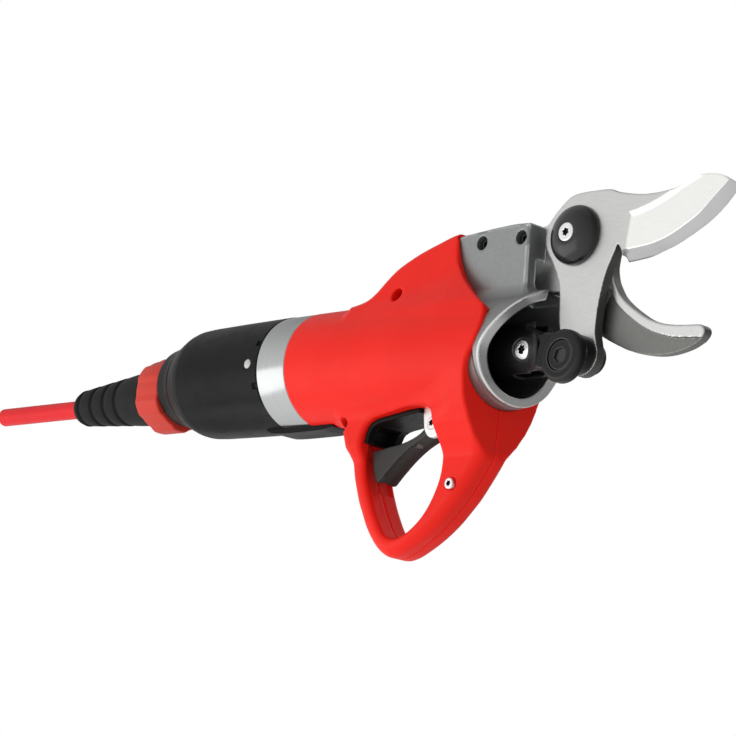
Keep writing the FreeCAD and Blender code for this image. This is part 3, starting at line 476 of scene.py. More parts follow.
# One per material slot; bracket_aluminium is a second finish for the bright_aluminium slot.
MATERIALS = {
    "red_shell": plastic("mat_red_shell", (0.90, 0.012, 0.004), grain=1900.0, depth=0.000018,
                         strength=0.22, variation=0.04, edge=0.05, specular=0.18),
    "red_ring": plastic("mat_red_ring", (0.60, 0.036, 0.020), rough=0.46, grain=2400.0,
                        edge=0.2, specular=0.25),
    "red_cable": plastic("mat_red_cable", (0.80, 0.008, 0.014), rough=0.40, grain=1500.0,
                         depth=0.00003, variation=0.08, edge=0.0, specular=0.2),
    "black_plastic": plastic("mat_black_plastic", (0.0052, 0.0054, 0.0054), rough=0.40,
                             grain=1700.0, depth=0.00003, strength=0.3, variation=0.16,
                             edge=0.25, specular=0.10),
    "black_gloss": plastic("mat_black_gloss", (0.005, 0.005, 0.0055), rough=0.22, grain=900.0,
                           depth=0.000006, strength=0.1, variation=0.2, edge=0.1, coat=0.25,
                           specular=0.4),
    "black_rubber": plastic("mat_black_rubber", (0.0085, 0.0083, 0.0081), rough=0.58,
                            grain=1300.0, depth=0.00006, strength=0.4, variation=0.2,
                            edge=0.25, specular=0.15),
    "trigger_grey": plastic("mat_trigger", (0.030, 0.030, 0.027), grain=1800.0,
                            depth=0.00003, variation=0.15, edge=0.3, specular=0.3),
    "bright_aluminium": metal("mat_turned_aluminium", (0.50, 0.515, 0.51), rough=0.20,
                              along=(60.0, 1.0, 1.0), scale=60.0, streak=0.10, aniso=0.6,
                              strength=0.10),
    "bracket_aluminium": metal("mat_bracket_aluminium", (0.90, 0.90, 0.90), rough=0.34,
                               scale=400.0, streak=0.08, strength=0.1),
    # head_aluminium: the pale convex edges (edge, edge_color) are painted highlight along the
    # chamfers
    "head_aluminium": metal("mat_blasted_head", (0.31, 0.322, 0.318), rough=0.46,
                            scale=1500.0, streak=0.22, strength=0.35, depth=0.00003,
                            metallic=0.85, edge=0.8, edge_color=(0.80, 0.81, 0.82),
                            tones=[("tone", (0.80, 0.80, 0.79), 0.40)]),
    # blade_steel: its darkest tone is painted shade on the blade's side faces
    "blade_steel": metal("mat_ground_blade", (0.66, 0.66, 0.645), rough=0.34,
                         along=(6.0, 1.0, 60.0), scale=40.0, streak=0.14, strength=0.16,
                         aniso=0.3, tones=[("tone", (0.96, 0.955, 0.93), 0.24),
                                           ("bevel", (0.50, 0.505, 0.50), 0.34),
                                           ("rim", (0.13, 0.13, 0.125), 0.5)]),
    # anvil_steel: its light tone is the ground land, and painted light on the shaded rear of the
    # near face
    "anvil_steel": metal("mat_satin_anvil", (0.22, 0.22, 0.21), rough=0.38,
                         along=(40.0, 1.0, 6.0), scale=60.0, strength=0.2,
                         tones=[("tone", (0.74, 0.745, 0.73), 0.32)]),
    "black_steel": metal("mat_black_oxide", (0.011, 0.011, 0.012), rough=0.34,
                         along=(30.0, 1.0, 1.0), streak=0.35, strength=0.15, metallic=0.6,
                         edge=0.35, edge_color=(0.10, 0.10, 0.10)),
    # bright_steel: its dark tone is painted shade inside the screw sockets
    "bright_steel": metal("mat_bright_steel", (0.86, 0.86, 0.86), rough=0.26, scale=500.0,
                          streak=0.12, strength=0.08,
                          tones=[("painted_socket_shade", (0.03, 0.03, 0.03), 0.6)]),
    "bearing_steel": metal("mat_bearing_steel", (0.55, 0.56, 0.57), rough=0.28,
                           along=(40.0, 1, 1), scale=80.0, streak=0.2),
    "copper": metal("mat_copper", (0.78, 0.40, 0.22), scale=300.0, streak=0.2),
    "board_green": plastic("mat_board", (0.02, 0.17, 0.07), rough=0.30, grain=700.0,
                           variation=0.2),
    "clear_lens": clear_lens(),
}

for subpart in frame["record"]["subparts"]:
    cad_piece = frame["nodes"].get(subpart["node"])
    if cad_piece is not None:
        cad_piece.data.materials.clear()
        cad_piece.data.materials.append(MATERIALS[subpart["material_slot"]])


def place(obj, body, slot, replaced, material=None):
    bpy.context.scene.collection.objects.link(obj)
    obj.data.materials.append(MATERIALS[material or slot])
    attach(obj, body)
    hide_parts(replaced)


# ---- Handle outlines (x, z) ----

# Hand loop below the barrel, closed through the barrel
LOOP_SIDE = smooth([
    (33.0, -16.0), (34.6, -21.5), (36.0, -25.0), (37.4, -28.6), (39.0, -32.8), (40.5, -37.2),
    (41.7, -41.6), (43.4, -45.9), (45.2, -50.2), (47.7, -54.6), (50.2, -58.9), (53.5, -63.2),
    (58.0, -67.4), (63.0, -69.7), (68.0, -69.2), (74.0, -66.6), (80.8, -62.7), (86.8, -58.3),
    (91.4, -54.0), (95.6, -49.7), (98.8, -45.6), (101.6, -41.8), (104.2, -38.0),
    (106.4, -34.0), (109.0, -28.0)], 1.4) + [(118.0, -20.0), (118.0, 0.0), (31.0, 0.0)]
# Hump on top of the barrel, and the hollow inside it
HUMP = smooth([
    (39.0, 18.9), (43.5, 20.0), (47.2, 21.5), (50.5, 23.9), (54.6, 28.3), (59.1, 32.2),
    (66.2, 35.9), (71.0, 37.8), (75.8, 39.4), (80.5, 40.9), (84.0, 41.7), (88.0, 42.2)],
    1.4) + [(94.0, 42.0), (118.0, 20.0), (118.0, -5.0), (39.0, -5.0)]
HUMP_HOLLOW = [
    (47.0, 0.0), (52.0, 17.0), (57.5, 22.0), (59.5, 26.0), (64.5, 29.5), (70.0, 32.2),
    (79.0, 36.0), (82.0, 37.0), (84.0, 36.0), (84.0, 0.0)]
# Cuts that shape the front of the shells: above x-z (106, 13), and ahead of the barrel
ARC_CUT = smooth([
    (86.6, 60.0), (86.6, 42.0), (86.9, 39.4), (88.6, 33.5), (90.4, 29.3), (93.0, 24.7),
    (97.6, 19.4), (102.0, 15.5), (106.1, 13.0)]) + [(150.0, 13.0), (150.0, 60.0)]
FRONT_CUT = smooth([
    (111.8, 12.0), (112.6, 9.4), (113.0, 7.0), (112.9, 4.6), (112.0, 1.9), (110.5, -1.5),
    (108.4, -4.5), (106.5, -8.0), (105.4, -12.0), (105.0, -17.0), (105.0, -24.0),
    (105.0, -30.0), (105.5, -36.0), (106.5, -45.0)]) + [
    (150.0, -45.0), (150.0, 13.4), (111.8, 13.4)]
# Finger opening; its lower part is moved back by up to 1.5
OPENING = [(x - 1.5 * min(1.0, max(0.0, (-22.0 - z) / 14.0)), z) for x, z in smooth([
    (48.6, -27.5), (49.6, -23.8), (53.0, -21.4), (62.4, -19.9), (70.7, -18.8), (76.3, -18.6),
    (81.3, -19.1), (84.8, -21.0), (86.4, -24.3), (87.3, -28.5), (88.0, -33.5), (88.2, -38.5),
    (87.6, -43.5), (86.0, -47.9), (83.8, -52.2), (80.6, -56.4), (76.1, -60.2), (71.0, -62.9),
    (66.5, -63.5), (62.6, -61.9), (59.6, -58.6), (56.2, -53.4), (53.2, -47.8), (50.6, -41.8),
    (48.9, -35.0), (48.6, -27.5)], 2.2)[:-1]]
# Channel behind the opening
CHANNEL = [(53.0, -22.3), (46.0, -22.6), (44.2, -26.4), (45.2, -33.5), (47.2, -40.0),
           (50.0, -46.4), (57.0, -46.4), (57.0, -30.0)]
# Flat plate on top of the head
HEAD_PLATE = [(82.0, 37.0), (86.3, 40.8), (94.7, 41.4), (103.8, 42.0), (112.1, 42.3),
              (119.4, 42.0), (120.6, 16.5), (118.0, 8.0), (92.0, 8.0), (84.0, 16.0),
              (82.0, 26.0)]
# Side of the trigger bracket
CHEEK = smooth([(74.6, -18.0), (75.2, -22.5), (76.2, -26.4), (78.6, -28.8), (81.6, -28.9),
                (84.0, -27.2), (84.8, -24.4), (84.0, -21.0), (82.6, -18.0)], 1.0)


def offset_line(points, distance):
    moved = []
    for i, (x, z) in enumerate(points):
        before, after = points[max(i - 1, 0)], points[min(i + 1, len(points) - 1)]
        run, rise = after[0] - before[0], after[1] - before[1]
        length = math.hypot(run, rise)
        moved.append((x + rise / length * distance, z - run / length * distance))
    return moved


# Liner: a strip 1.7 wide along the upper rear of the opening
half = len(OPENING) // 2
liner_start = next(i for i, (x, z) in enumerate(OPENING) if i > half and z > -32.0 and x < 60.0)
liner_line = OPENING[liner_start:] + [point for point in OPENING[:half] if point[0] < 75.0]
LINER = liner_line + offset_line(liner_line, 1.7)[::-1]

# ---- Red shells ----

BARREL_RADIUS = [(15, 21.45), (48, 21.45), (85, 21.5), (104.5, 21.6), (116, 21.6)]  # x, radius
# Half width of the loop against x and against z
PLAN_WIDTH = [(31.0, 8.6), (40.0, 8.8), (58.0, 9.4), (74.0, 11.0), (88.0, 14.4), (98.0, 17.6),
              (107.5, 20.4), (116.0, 21.4)]
FRONT_WIDTH = [(-70.0, 0.0), (-36.4, 0.5), (-34.2, 4.6), (-30.9, 9.4), (-25.9, 13.8),
               (-21.2, 16.4), (-16.9, 18.0), (-12.0, 18.8), (-6.0, 19.6), (0.0, 20.4)]
# Fillet radius between hump and barrel against x
HUMP_FILLET = [(50, 3.5), (62, 4.5), (76, 7.0), (90, 9.5), (112, 10.0)]
HUMP_LEAN = 0.2  # widening of the hump's flank per mm downwards


def shell_field(grid):
    x, y, z = grid.axes
    side = np.abs(y)
    axial = grid.axial()
    barrel = round_common(axial - profile(x, BARREL_RADIUS).astype(np.float32),
                          BAND_FRONT - x, 0.8)
    hump_width = np.minimum(9.95 + HUMP_LEAN * np.clip(40.0 - z, 0.0, 24.0), 20.6)
    hump = round_common(grid.poly(HUMP), (side - hump_width) / math.sqrt(1 + HUMP_LEAN ** 2),
                        2.6)
    width = soft_union(profile(x, PLAN_WIDTH), profile(z, FRONT_WIDTH), 2.0)
    width = soft_common(width, 7.2, 9.0).astype(np.float32)
    slope_x, slope_z = np.gradient(width[:, 0, :], grid.pitch)
    flank = (side - width) / np.sqrt(1 + slope_x ** 2 + slope_z ** 2)[:, None, :]
    opening = grid.poly(OPENING)
    loop = cut(round_common(grid.poly(LOOP_SIDE), flank, 4.2), opening, 1.8)
    fillet = profile(x, HUMP_FILLET).astype(np.float32) * np.clip(z / 14.0, 0.02, 1.0)
    field = round_union(round_union(barrel, hump, fillet), loop, 3.0)
    field = common(field, side - 21.56, -69.73 - z)
    # the arc is cut with a draft, so that the lip stays thin where the side swells
    draft = np.maximum(side - 11.3, 0.0)
    first_x = int((84.0 - grid.low[0]) / grid.pitch)
    first_z = int((11.0 - grid.low[2]) / grid.pitch)
    arc_cut = poly_distance(x[first_x:] - 1.12 * draft, z[:, :, first_z:] + 0.307 * draft,
                            ARC_CUT) * 0.7
    field[first_x:, :, first_z:] = cut(field[first_x:, :, first_z:], arc_cut, 0.8)
    field = cut(field, grid.poly(FRONT_CUT), 1.0)
    field = cut(field, opening)
    # seat of the aluminium head, with a fine gap round it
    field = cut(field, union(common(grid.poly(HEAD_PLATE), side - 9.25),
                             common(axial - (HEAD_RADIUS + 0.15), 83.9 - x)))
    # hollow inside, less a post round the upper screw
    cavity = union(common(axial - (SLEEVE_RADIUS + 0.05), x - HEAD_REAR),
                   common(grid.poly(HUMP_HOLLOW), side - 8.6))
    field = cut(field, cut(cavity, grid.pin(SHELL_SCREWS[0][0], 4.0)))
    field = cut(field, common(grid.poly(CHANNEL), side - 5.6))
    # room for the trigger bracket
    field = cut(field, common(between(x, 74.0, 88.0), between(z, -24.0, -16.5), side - 6.9))
    mouth = [(73.6, -22.0), (73.6, -16.6), (86.2, -16.6), (86.2, -22.0)]
    field = cut(field, common(grid.poly(mouth), side - 6.9))
    field = cut(field, common(grid.poly(CHEEK), side - 6.7))
    field = cut(field, common(grid.poly(LINER), side - 8.2))
    for centre, seat_y in SHELL_SCREWS:
        field = cut(field, common(grid.pin(centre, 2.45), y - seat_y), 0.4)
    return cut(field, common(grid.pin(LOOP_SCREW, 2.15), y + 6.6), 0.4)


def shells():
    for name, node, low_y, high_y, sign in (("shell_right", "right_shell", -22.6, 1.6, 1.0),
                                            ("shell_left", "left_shell", -1.6, 22.6, -1.0)):
        grid = Grid((13.5, low_y, -71.6), (115.2, high_y, 43.9), 0.5)
        # a chamfered seam, 0.03 off the middle plane
        field = chamfer_common(shell_field(grid), sign * grid.axes[1] + 0.03, 0.36)
        place(carved(name, field, grid, angle=50), "handle", "red_shell", node)


# ---- Head and anvil (x, z) ----

# Everything ahead of the head tube's slanted rim, moved back by 1
RIM_CUT = [(x - 1.0, z) for x, z in smooth([
    (112.5, -25.0), (112.5, -14.0), (112.7, -9.0), (113.8, -3.0), (116.2, 1.3), (120.0, 6.2),
    (124.2, 11.4), (127.2, 15.0), (128.6, 20.0)], 0.8) + [(150.0, 22.0), (150.0, -25.0)]]
THROAT = smooth([
    (151.2, 33.0), (150.4, 27.3), (150.5, 24.6), (151.5, 21.1), (153.1, 18.3), (155.3, 15.3),
    (158.8, 12.3), (162.6, 9.7), (167.5, 6.8), (172.3, 4.9), (176.6, 3.8), (181.9, 3.1),
    (187.5, 2.7), (190.6, 2.4), (192.3, 1.0), (192.0, -0.9), (190.4, -2.6)], 0.8)
HOOK_UNDER = smooth([
    (190.4, -2.6), (186.4, -4.4), (181.7, -5.5), (177.3, -6.0), (172.4, -5.9), (166.6, -5.0),
    (160.6, -3.5), (155.3, -1.3), (150.4, 1.0), (146.7, 3.2), (140.5, 8.5), (134.5, 15.0),
    (130.5, 18.5)], 0.8)
ANVIL = ([(92.0, 40.2), (111.0, 41.8), (118.5, 43.2), (124.6, 46.0)]
         + arc(PIVOT, 13.4, 130, -10, 32) + THROAT + HOOK_UNDER[1:]
         + [(124.0, 19.0), (112.0, 22.2), (92.0, 26.0)])
# Lower part of the hook, thinned from the far side
RELIEF = smooth([
    (151.0, 18.0), (153.4, 13.4), (157.2, 10.0), (161.4, 6.9), (166.4, 3.8), (171.2, 1.6),
    (176.3, 0.0), (181.3, -1.0), (196.0, -2.2)], 0.8) + [
    (196.0, -12.0), (140.0, -12.0), (146.0, 8.0)]
# Notches in the head ahead of the anvil's root (far side) and for the blade (near side)
FAR_NOTCH = [(112.0, 12.0), (112.0, 22.4), (140.0, 30.0), (140.0, 12.0)]
BLADE_NOTCH = [(105.4, -3.0), (106.4, 7.0), (108.4, 12.9), (110.2, 17.4), (112.9, 21.6),
               (117.4, 26.9), (120.4, 31.0), (140.0, 33.0), (140.0, -3.0)]


def side_view(verts):
    return verts[:, 0].astype(np.float32), verts[:, 2].astype(np.float32)


def head_casting():
    grid = Grid((80.8, -20.8, -20.8), (130.2, 20.8, 43.6), 0.42)
    x, y, z = grid.axes
    axial = grid.axial()
    rim = grid.poly(RIM_CUT)
    plate = chamfer_common(grid.poly(HEAD_PLATE), np.abs(y) - 9.0, 0.8)
    # the lip swells sideways just ahead of the shell and narrows the bore a little
    swell = np.clip((x - 108.6 - 0.35 * np.maximum(z, 0.0)) / 1.2, 0.0, 1.0)
    oval = (np.sqrt((y / 20.5) ** 2 + (z / 19.0) ** 2) - 1.0) * 19.6
    outside = (axial - HEAD_RADIUS) * (1.0 - swell) + oval * swell
    outside = np.minimum(outside, np.maximum(axial - HEAD_RADIUS, -z * 0.2))
    tube = cut(common(outside, HEAD_REAR - x), rim, 0.7)
    field = round_union(plate, tube, 3.0)
    field = round_common(field, 16.5 - 0.6 * (np.abs(rim) < 2.4) - axial, 0.4)
    field = cut(field, common(grid.poly(ANVIL), between(y, 0.02, ANVIL_THICK + 0.05)))
    field = cut(field, common(grid.poly(FAR_NOTCH), between(y, 0.05, 4.5)))
    field = cut(field, common(grid.poly(BLADE_NOTCH), between(y, -4.5, 0.05)))
    for hole in HEAD_HOLES:
        field = cut(field, grid.pin(hole, 2.0))
        field = cut(field, common(grid.pin(hole, 2.45), y + 6.0), 0.15)
        field = cut(field, common(grid.pin(hole, 2.45), 7.0 - y), 0.15)
    verts, quads, convex = contour(field, grid)
    for hole in HEAD_HOLES:  # no painted edge highlight round the bolts
        convex[np.hypot(verts[:, 0] - hole[0], verts[:, 2] - hole[1]) < 4.2] = 0.0
    obj = mesh_object("head_casting", verts, quads, 40, convex)
    mark(obj, "tone", (np.abs(poly_distance(*side_view(verts), RIM_CUT)) < 0.28)
         & (np.hypot(verts[:, 1], verts[:, 2]) < 19.9))
    place(obj, "handle", "head_aluminium", "head_housing")


def anvil_hook():
    """Thick plate with a ground land along the throat; the rear of the near face is painted
    lighter as painted light.
    """
    grid = Grid((90.6, -1.2, -8.2), (194.2, 5.8, 52.2), 0.36)
    y = grid.axes[1]
    field = chamfer_common(grid.poly(ANVIL), between(y, 0.05, ANVIL_THICK), 0.45)
    field = cut(field, common(grid.poly(RELIEF), (y - 0.95) * 0.9))
    field = cut(field, grid.pin(PIVOT, 5.0))
    for hole in HEAD_HOLES:
        field = cut(field, grid.pin(hole, 2.0))
    verts, quads, convex = contour(field, grid)
    obj = mesh_object("anvil_hook", verts, quads, 30, convex)
    x, y = verts[:, 0], verts[:, 1]
    land = (poly_distance(*side_view(verts), RELIEF) > 0.1) & (y < 0.6) & (x > 149.0)
    # tone: the ground land along the throat, plus painted light on the near face's rear part (x <
    # 135), which lies in shadow
    mark(obj, "tone", land | ((x < 135.0) & (y < 0.3)))
    place(obj, "handle", "anvil_steel", "anvil_blade")


# ---- Blade outlines (x, z) ----

SPINE = smooth([
    (126.3, 45.3), (128.6, 47.4), (131.5, 49.7), (135.1, 51.1), (142.1, 51.3), (150.2, 50.9),
    (153.9, 49.6), (159.1, 48.4), (164.3, 47.5), (169.7, 47.2), (175.0, 47.4), (179.5, 48.0),
    (184.5, 49.6), (188.4, 51.0), (193.0, 50.9), (197.0, 50.0), (199.9, 48.4),
    (203.4, 46.4)], 0.8)
EDGE = smooth([
    (203.4, 46.4), (200.6, 43.4), (196.9, 39.7), (191.8, 35.9), (185.5, 32.6), (178.4, 29.5),
    (172.5, 27.8), (168.1, 26.6), (161.6, 26.0), (158.2, 25.8)], 0.8)
BEVEL_TOP = smooth([
    (200.6, 48.0), (197.8, 45.6), (193.8, 42.2), (189.5, 38.4), (184.2, 35.4), (177.1, 32.2),
    (170.1, 30.4), (162.4, 29.8), (158.4, 29.6)], 0.8)
HEEL = [(158.2, 25.8), (158.0, 28.0), (157.4, 29.6), (156.2, 31.2)]
TAIL_FRONT = smooth([
    (155.6, 31.4), (154.2, 28.2), (151.9, 23.0), (150.3, 16.4), (149.4, 9.8), (149.2, 3.1),
    (150.2, -1.0)], 0.8)
TAIL_REAR = smooth([
    (137.6, -5.0), (135.2, 0.0), (133.3, 4.5), (132.4, 9.1), (131.8, 16.0), (131.1, 20.2),
    (129.4, 24.0), (126.5, 29.0), (123.6, 33.0), (122.6, 37.5), (123.6, 41.8),
    (126.3, 45.3)], 0.8)
BLADE = (SPINE + EDGE[1:-1] + HEEL + TAIL_FRONT[:-1] + arc(TAIL_PIN, 6.8, 28, -180)
         + TAIL_REAR[1:-1])
BEVEL = EDGE + BEVEL_TOP[::-1]
# Ground face, stepped down from the rest of the near side
GROUND_FACE = smooth([
    (200.6, 52.5), (192.0, 52.5), (186.5, 50.4), (181.0, 48.3), (177.4, 46.4), (173.0, 44.6),
    (168.6, 43.1), (163.8, 41.9), (160.2, 41.3)], 0.8) + [
    (159.3, 33.0), (158.4, 24.0), (215.0, 24.0), (215.0, 52.5)]
FACE_STEP = 0.7
BEVEL_DEPTH = 3.0

LINK_X, LINK_Z = TAIL_PIN[0] - ROD_PIN[0], TAIL_PIN[1] - ROD_PIN[1]
LINK_LENGTH = math.hypot(LINK_X, LINK_Z)
LINK_TILT = math.atan2(LINK_Z, LINK_X)
BLADE_SWING = math.radians(46.0)
ROD_TRAVEL = 41.2  # rod travel per radian of blade swing
LINK_SWING = 0.28  # link turn per radian of blade swing


def turned(x, z, angle):
    return (x * math.cos(angle) + z * math.sin(angle),
            -x * math.sin(angle) + z * math.cos(angle))


def tail_track():
    """Path of the tail pin across the blade as the blade swings."""
    track = []
    for i in range(24):
        swing = BLADE_SWING * i / 23
        x, z = turned(LINK_X, LINK_Z, -LINK_SWING * swing)
        x, z = x + ROD_PIN[0] - ROD_TRAVEL * swing, z + ROD_PIN[1]
        x, z = turned(x - PIVOT[0], z - PIVOT[1], -swing)
        track.append((PIVOT[0] + x, PIVOT[1] + z))
    return track


def blade():
    grid = Grid((121.2, -5.2, -13.2), (205.4, 1.2, 53.0), 0.36)
    y = grid.axes[1]
    ramp = np.clip(0.5 - grid.poly(GROUND_FACE) / 2.4, 0, 1)
    step = FACE_STEP * (ramp * ramp * (3 - 2 * ramp))
    to_edge, to_top = grid.line(EDGE), grid.line(BEVEL_TOP)
    past_edge = grid.poly(EDGE + [(158.2, 20.0), (208.0, 20.0), (208.0, 46.4)]) < 0
    drop = np.where(
        grid.poly(BEVEL) < 0, FACE_STEP + BEVEL_DEPTH * to_top / (to_top + to_edge + 1e-6),
        np.where(past_edge & (to_edge < to_top), FACE_STEP + BEVEL_DEPTH, step))
    drop = drop.astype(np.float32)
    half_thick = BLADE_THICK / 2
    field = chamfer_common(grid.poly(BLADE), np.abs(y + half_thick) - half_thick, 0.3)
    field = common(field, (drop - BLADE_THICK - y) * 0.8)
    field = cut(field, grid.pin(PIVOT, 5.05))
    field = cut(field, grid.line(tail_track()) - 3.1)
    verts, quads, convex = contour(field, grid)
    obj = mesh_object("blade_forging", verts, quads, 30, convex)
    x, z = side_view(verts)
    y = verts[:, 1]
    near = y < -0.2
    ground = np.clip(0.5 - poly_distance(x, z, GROUND_FACE) / 0.5, 0, 1) * near
    bevel = np.clip(0.5 - poly_distance(x, z, BEVEL) / 0.4, 0, 1) * near
    mark(obj, "tone", ground * (1 - bevel))
    mark(obj, "bevel", bevel)
    # painted shade: the side faces of the blade's body and tail are painted dark, standing in for
    # the dark reflection they show
    mark(obj, "rim", (np.abs(poly_distance(x, z, BLADE)) < 0.30) & (y > -3.85) & (y < -0.1)
         & (x < 157.5))
    place(obj, "blade", "blade_steel", "cutting_blade")


# ---- Pivot cover and screws ----

# Closed outline of the domed cover (y, radius)
DOME = [(-4.1, 8.5), (-4.1, 10.1), (-4.4, 10.3), (-4.9, 10.3), (-5.3, 10.18), (-5.9, 9.9),
        (-6.5, 9.5), (-7.0, 9.0), (-7.5, 8.38), (-8.0, 7.6), (-8.4, 6.8), (-8.7, 6.0),
        (-8.95, 5.2), (-9.1, 4.5), (-9.2, 3.9), (-9.15, 3.5), (-8.9, 3.38), (-8.2, 3.36),
        (-8.2, 1.5), (-7.3, 1.5), (-7.3, 6.4), (-6.7, 8.5)]


def screw(centre, face, under, radius, socket=0.0, depth=0.0, turn=0.0, shank_end=None,
          shank=0.0, pitch=0.13, lobes=True, edge=0.5, trim=None):
    """Head from y = face to under, with a six-lobed or hexagonal socket and an optional shank;
    trim rounds the head off about the drive axis."""
    end = under if shank_end is None else shank_end
    reach = max(radius, shank)
    grid = Grid((centre[0] - reach - 0.6, face - 0.6, centre[1] - reach - 0.6),
                (centre[0] + reach + 0.6, end + 0.6, centre[1] + reach + 0.6), pitch)
    x, y, z = grid.axes
    distance = grid.pin(centre)
    field = round_common(round_common(distance - radius, face - y, edge), y - under, 0.12)
    if trim is not None:
        field = round_common(field, grid.axial() - trim, 0.2)
    if shank_end is not None:
        field = union(field, common(distance - shank, between(y, under - 0.3, shank_end)))
    if lobes:
        angle = np.arctan2(z - centre[1], x - centre[0]) + turn
        hole = distance - socket * 0.5 * (0.86 + 0.14 * np.cos(6 * angle))
    else:
        hole = grid.poly(hexagon(centre, socket, math.degrees(turn)))
    return chamfer_common(field, -common(hole, y - (face + depth)), 0.12), grid


def fasteners(name, parts, dark=None):
    """One object from several screws; dark = (centre, radius, y) picks the inside of a socket,
    which gets painted shade.
    """
    meshes = [contour(*part) for part in parts]
    counts = [len(verts) for verts, _, _ in meshes]
    verts = np.concatenate([verts for verts, _, _ in meshes])
    quads = np.concatenate([mesh[1] + sum(counts[:i]) for i, mesh in enumerate(meshes)])
    convex = np.concatenate([convex for _, _, convex in meshes])
    obj = mesh_object(name, verts, quads, 40, convex)
    shaded_socket = np.zeros(len(verts))
    # painted shade: the inside of the socket is painted dark
    if dark:
        (x, z), radius, y = dark
        shaded_socket[(np.hypot(verts[:, 0] - x, verts[:, 2] - z) < radius) & (verts[:, 1] > y)] = 1.0
    mark(obj, "painted_socket_shade", shaded_socket)
    return obj


def handle_fasteners():
    dome = lathe("pivot_dome", DOME, 128, axis="y", centre=PIVOT, angle=40)
    place(dome, "handle", "black_gloss", "dome_cap")
    place(fasteners("pivot_screw", [
        screw(PIVOT, face=-9.5, under=-8.2, radius=3.3, socket=2.9, depth=1.0, turn=0.3,
              shank_end=-2.4, shank=1.5)], dark=(PIVOT, 1.5, -9.2)),
        "handle", "bright_steel", "dome_screw")
    place(fasteners("head_bolts", [
        screw(hole, face=-7.2, under=-6.0, radius=2.35, socket=2.4, depth=0.9, turn=0.4,
              shank_end=7.0, shank=1.95, pitch=0.14, edge=0.3) for hole in HEAD_HOLES] + [
        screw(hole, face=7.0, under=8.4, radius=2.35, pitch=0.16) for hole in HEAD_HOLES]),
        "handle", "black_steel", "head_screws")
    place(fasteners("shell_bolts", [
        screw(centre, face=seat_y - 1.9, under=seat_y, radius=2.35, socket=2.4, depth=1.1,
              turn=0.2, shank_end=7.0, shank=1.5, pitch=0.16)
        for centre, seat_y in SHELL_SCREWS]), "handle", "black_steel", "shell_screws")
    place(fasteners("loop_bolt", [
        screw(LOOP_SCREW, face=-8.5, under=-6.6, radius=2.0, socket=2.1, depth=0.9, turn=0.1,
              shank_end=6.4, shank=1.4, pitch=0.12)], dark=(LOOP_SCREW, 1.1, -8.2)),
        "handle", "bright_steel", "loop_screw")
    place(fasteners("lever_pin", [
        screw(TRIGGER_PIN, face=-6.9, under=-6.0, radius=2.25, socket=2.3, depth=0.7, turn=0.3,
              shank_end=6.6, shank=1.5)], dark=(TRIGGER_PIN, 1.2, -6.7)),
        "handle", "bright_steel", "trigger_pin")


# ---- Link and push rod ----

KNOB = (TAIL_PIN[0] - 2.0, TAIL_PIN[1] - 1.4)  # round boss on the near side of the link


def link():
    grid = Grid((114.6, -13.4, -15.6), (154.8, 6.4, 9.2), 0.3)
    x, y, z = grid.axes
    # along the link from the rod pin, and across it
    cosine, sine = math.cos(LINK_TILT), math.sin(LINK_TILT)
    along = (x - ROD_PIN[0]) * cosine + (z - ROD_PIN[1]) * sine
    across = -(x - ROD_PIN[0]) * sine + (z - ROD_PIN[1]) * cosine
    from_rod = np.sqrt(along * along + across * across)
    from_tail = np.sqrt((along - LINK_LENGTH) ** 2 + across * across)
    from_knob = grid.pin(KNOB)
    tongue = union(from_rod - 5.3, common(between(along, 0, 11.5), np.abs(across) - 4.2))
    tongue = common(tongue, np.abs(y) - 2.9)
    arm_outline = [(7.6, -6.0), (9.4, -6.4), (LINK_LENGTH, -6.4), (LINK_LENGTH, 6.4),
                   (9.4, 6.4), (7.6, 5.5)]
    arm = poly_distance(along[:, 0, :], across[:, 0, :], arm_outline)[:, None, :]
    arm = round_common(round_union(arm, from_tail - 6.5, 0.5), -9.2 - y, 1.0)
    arm = cut(arm, np.maximum(from_rod - 7.45, -2.9), 0.2)
    arm = common(arm, y + 4.15)
    boss = round_common(round_common(from_knob - 8.95, -12.5 - y, 1.7), y + 8.6, 0.5)
    far_arm = common(between(along, 7.8, LINK_LENGTH), np.abs(across) - 5.2)
    far_cheek = common(union(far_arm, from_tail - 5.4), 0.15 - y)
    far_cheek = round_common(far_cheek, y - 2.6, 0.8)
    web = common(between(along, 7.6, 10.3), np.abs(across) - 5.2, between(y, -4.5, 2.6))
    field = union(tongue, round_union(arm, boss, 0.5), far_cheek, web)
    field = cut(field, common(10.3 - along, between(y, -4.15, 0.15)))  # slot for the blade
    field = cut(field, from_rod - 2.55)
    field = cut(field, common(from_tail - 2.75, -9.0 - y))
    field = cut(field, common(from_knob - 5.3, y + 11.2))
    place(carved("link_forging", field, grid), "link", "black_steel", "link_clevis")
    place(fasteners("link_pin", [
        screw(KNOB, face=-12.2, under=-11.2, radius=5.2, socket=4.6, depth=0.8, turn=0.26,
              pitch=0.16, lobes=False),
        screw(TAIL_PIN, face=-9.0, under=2.5, radius=2.7, pitch=0.24)]),
        "link", "black_steel", "tail_pin")


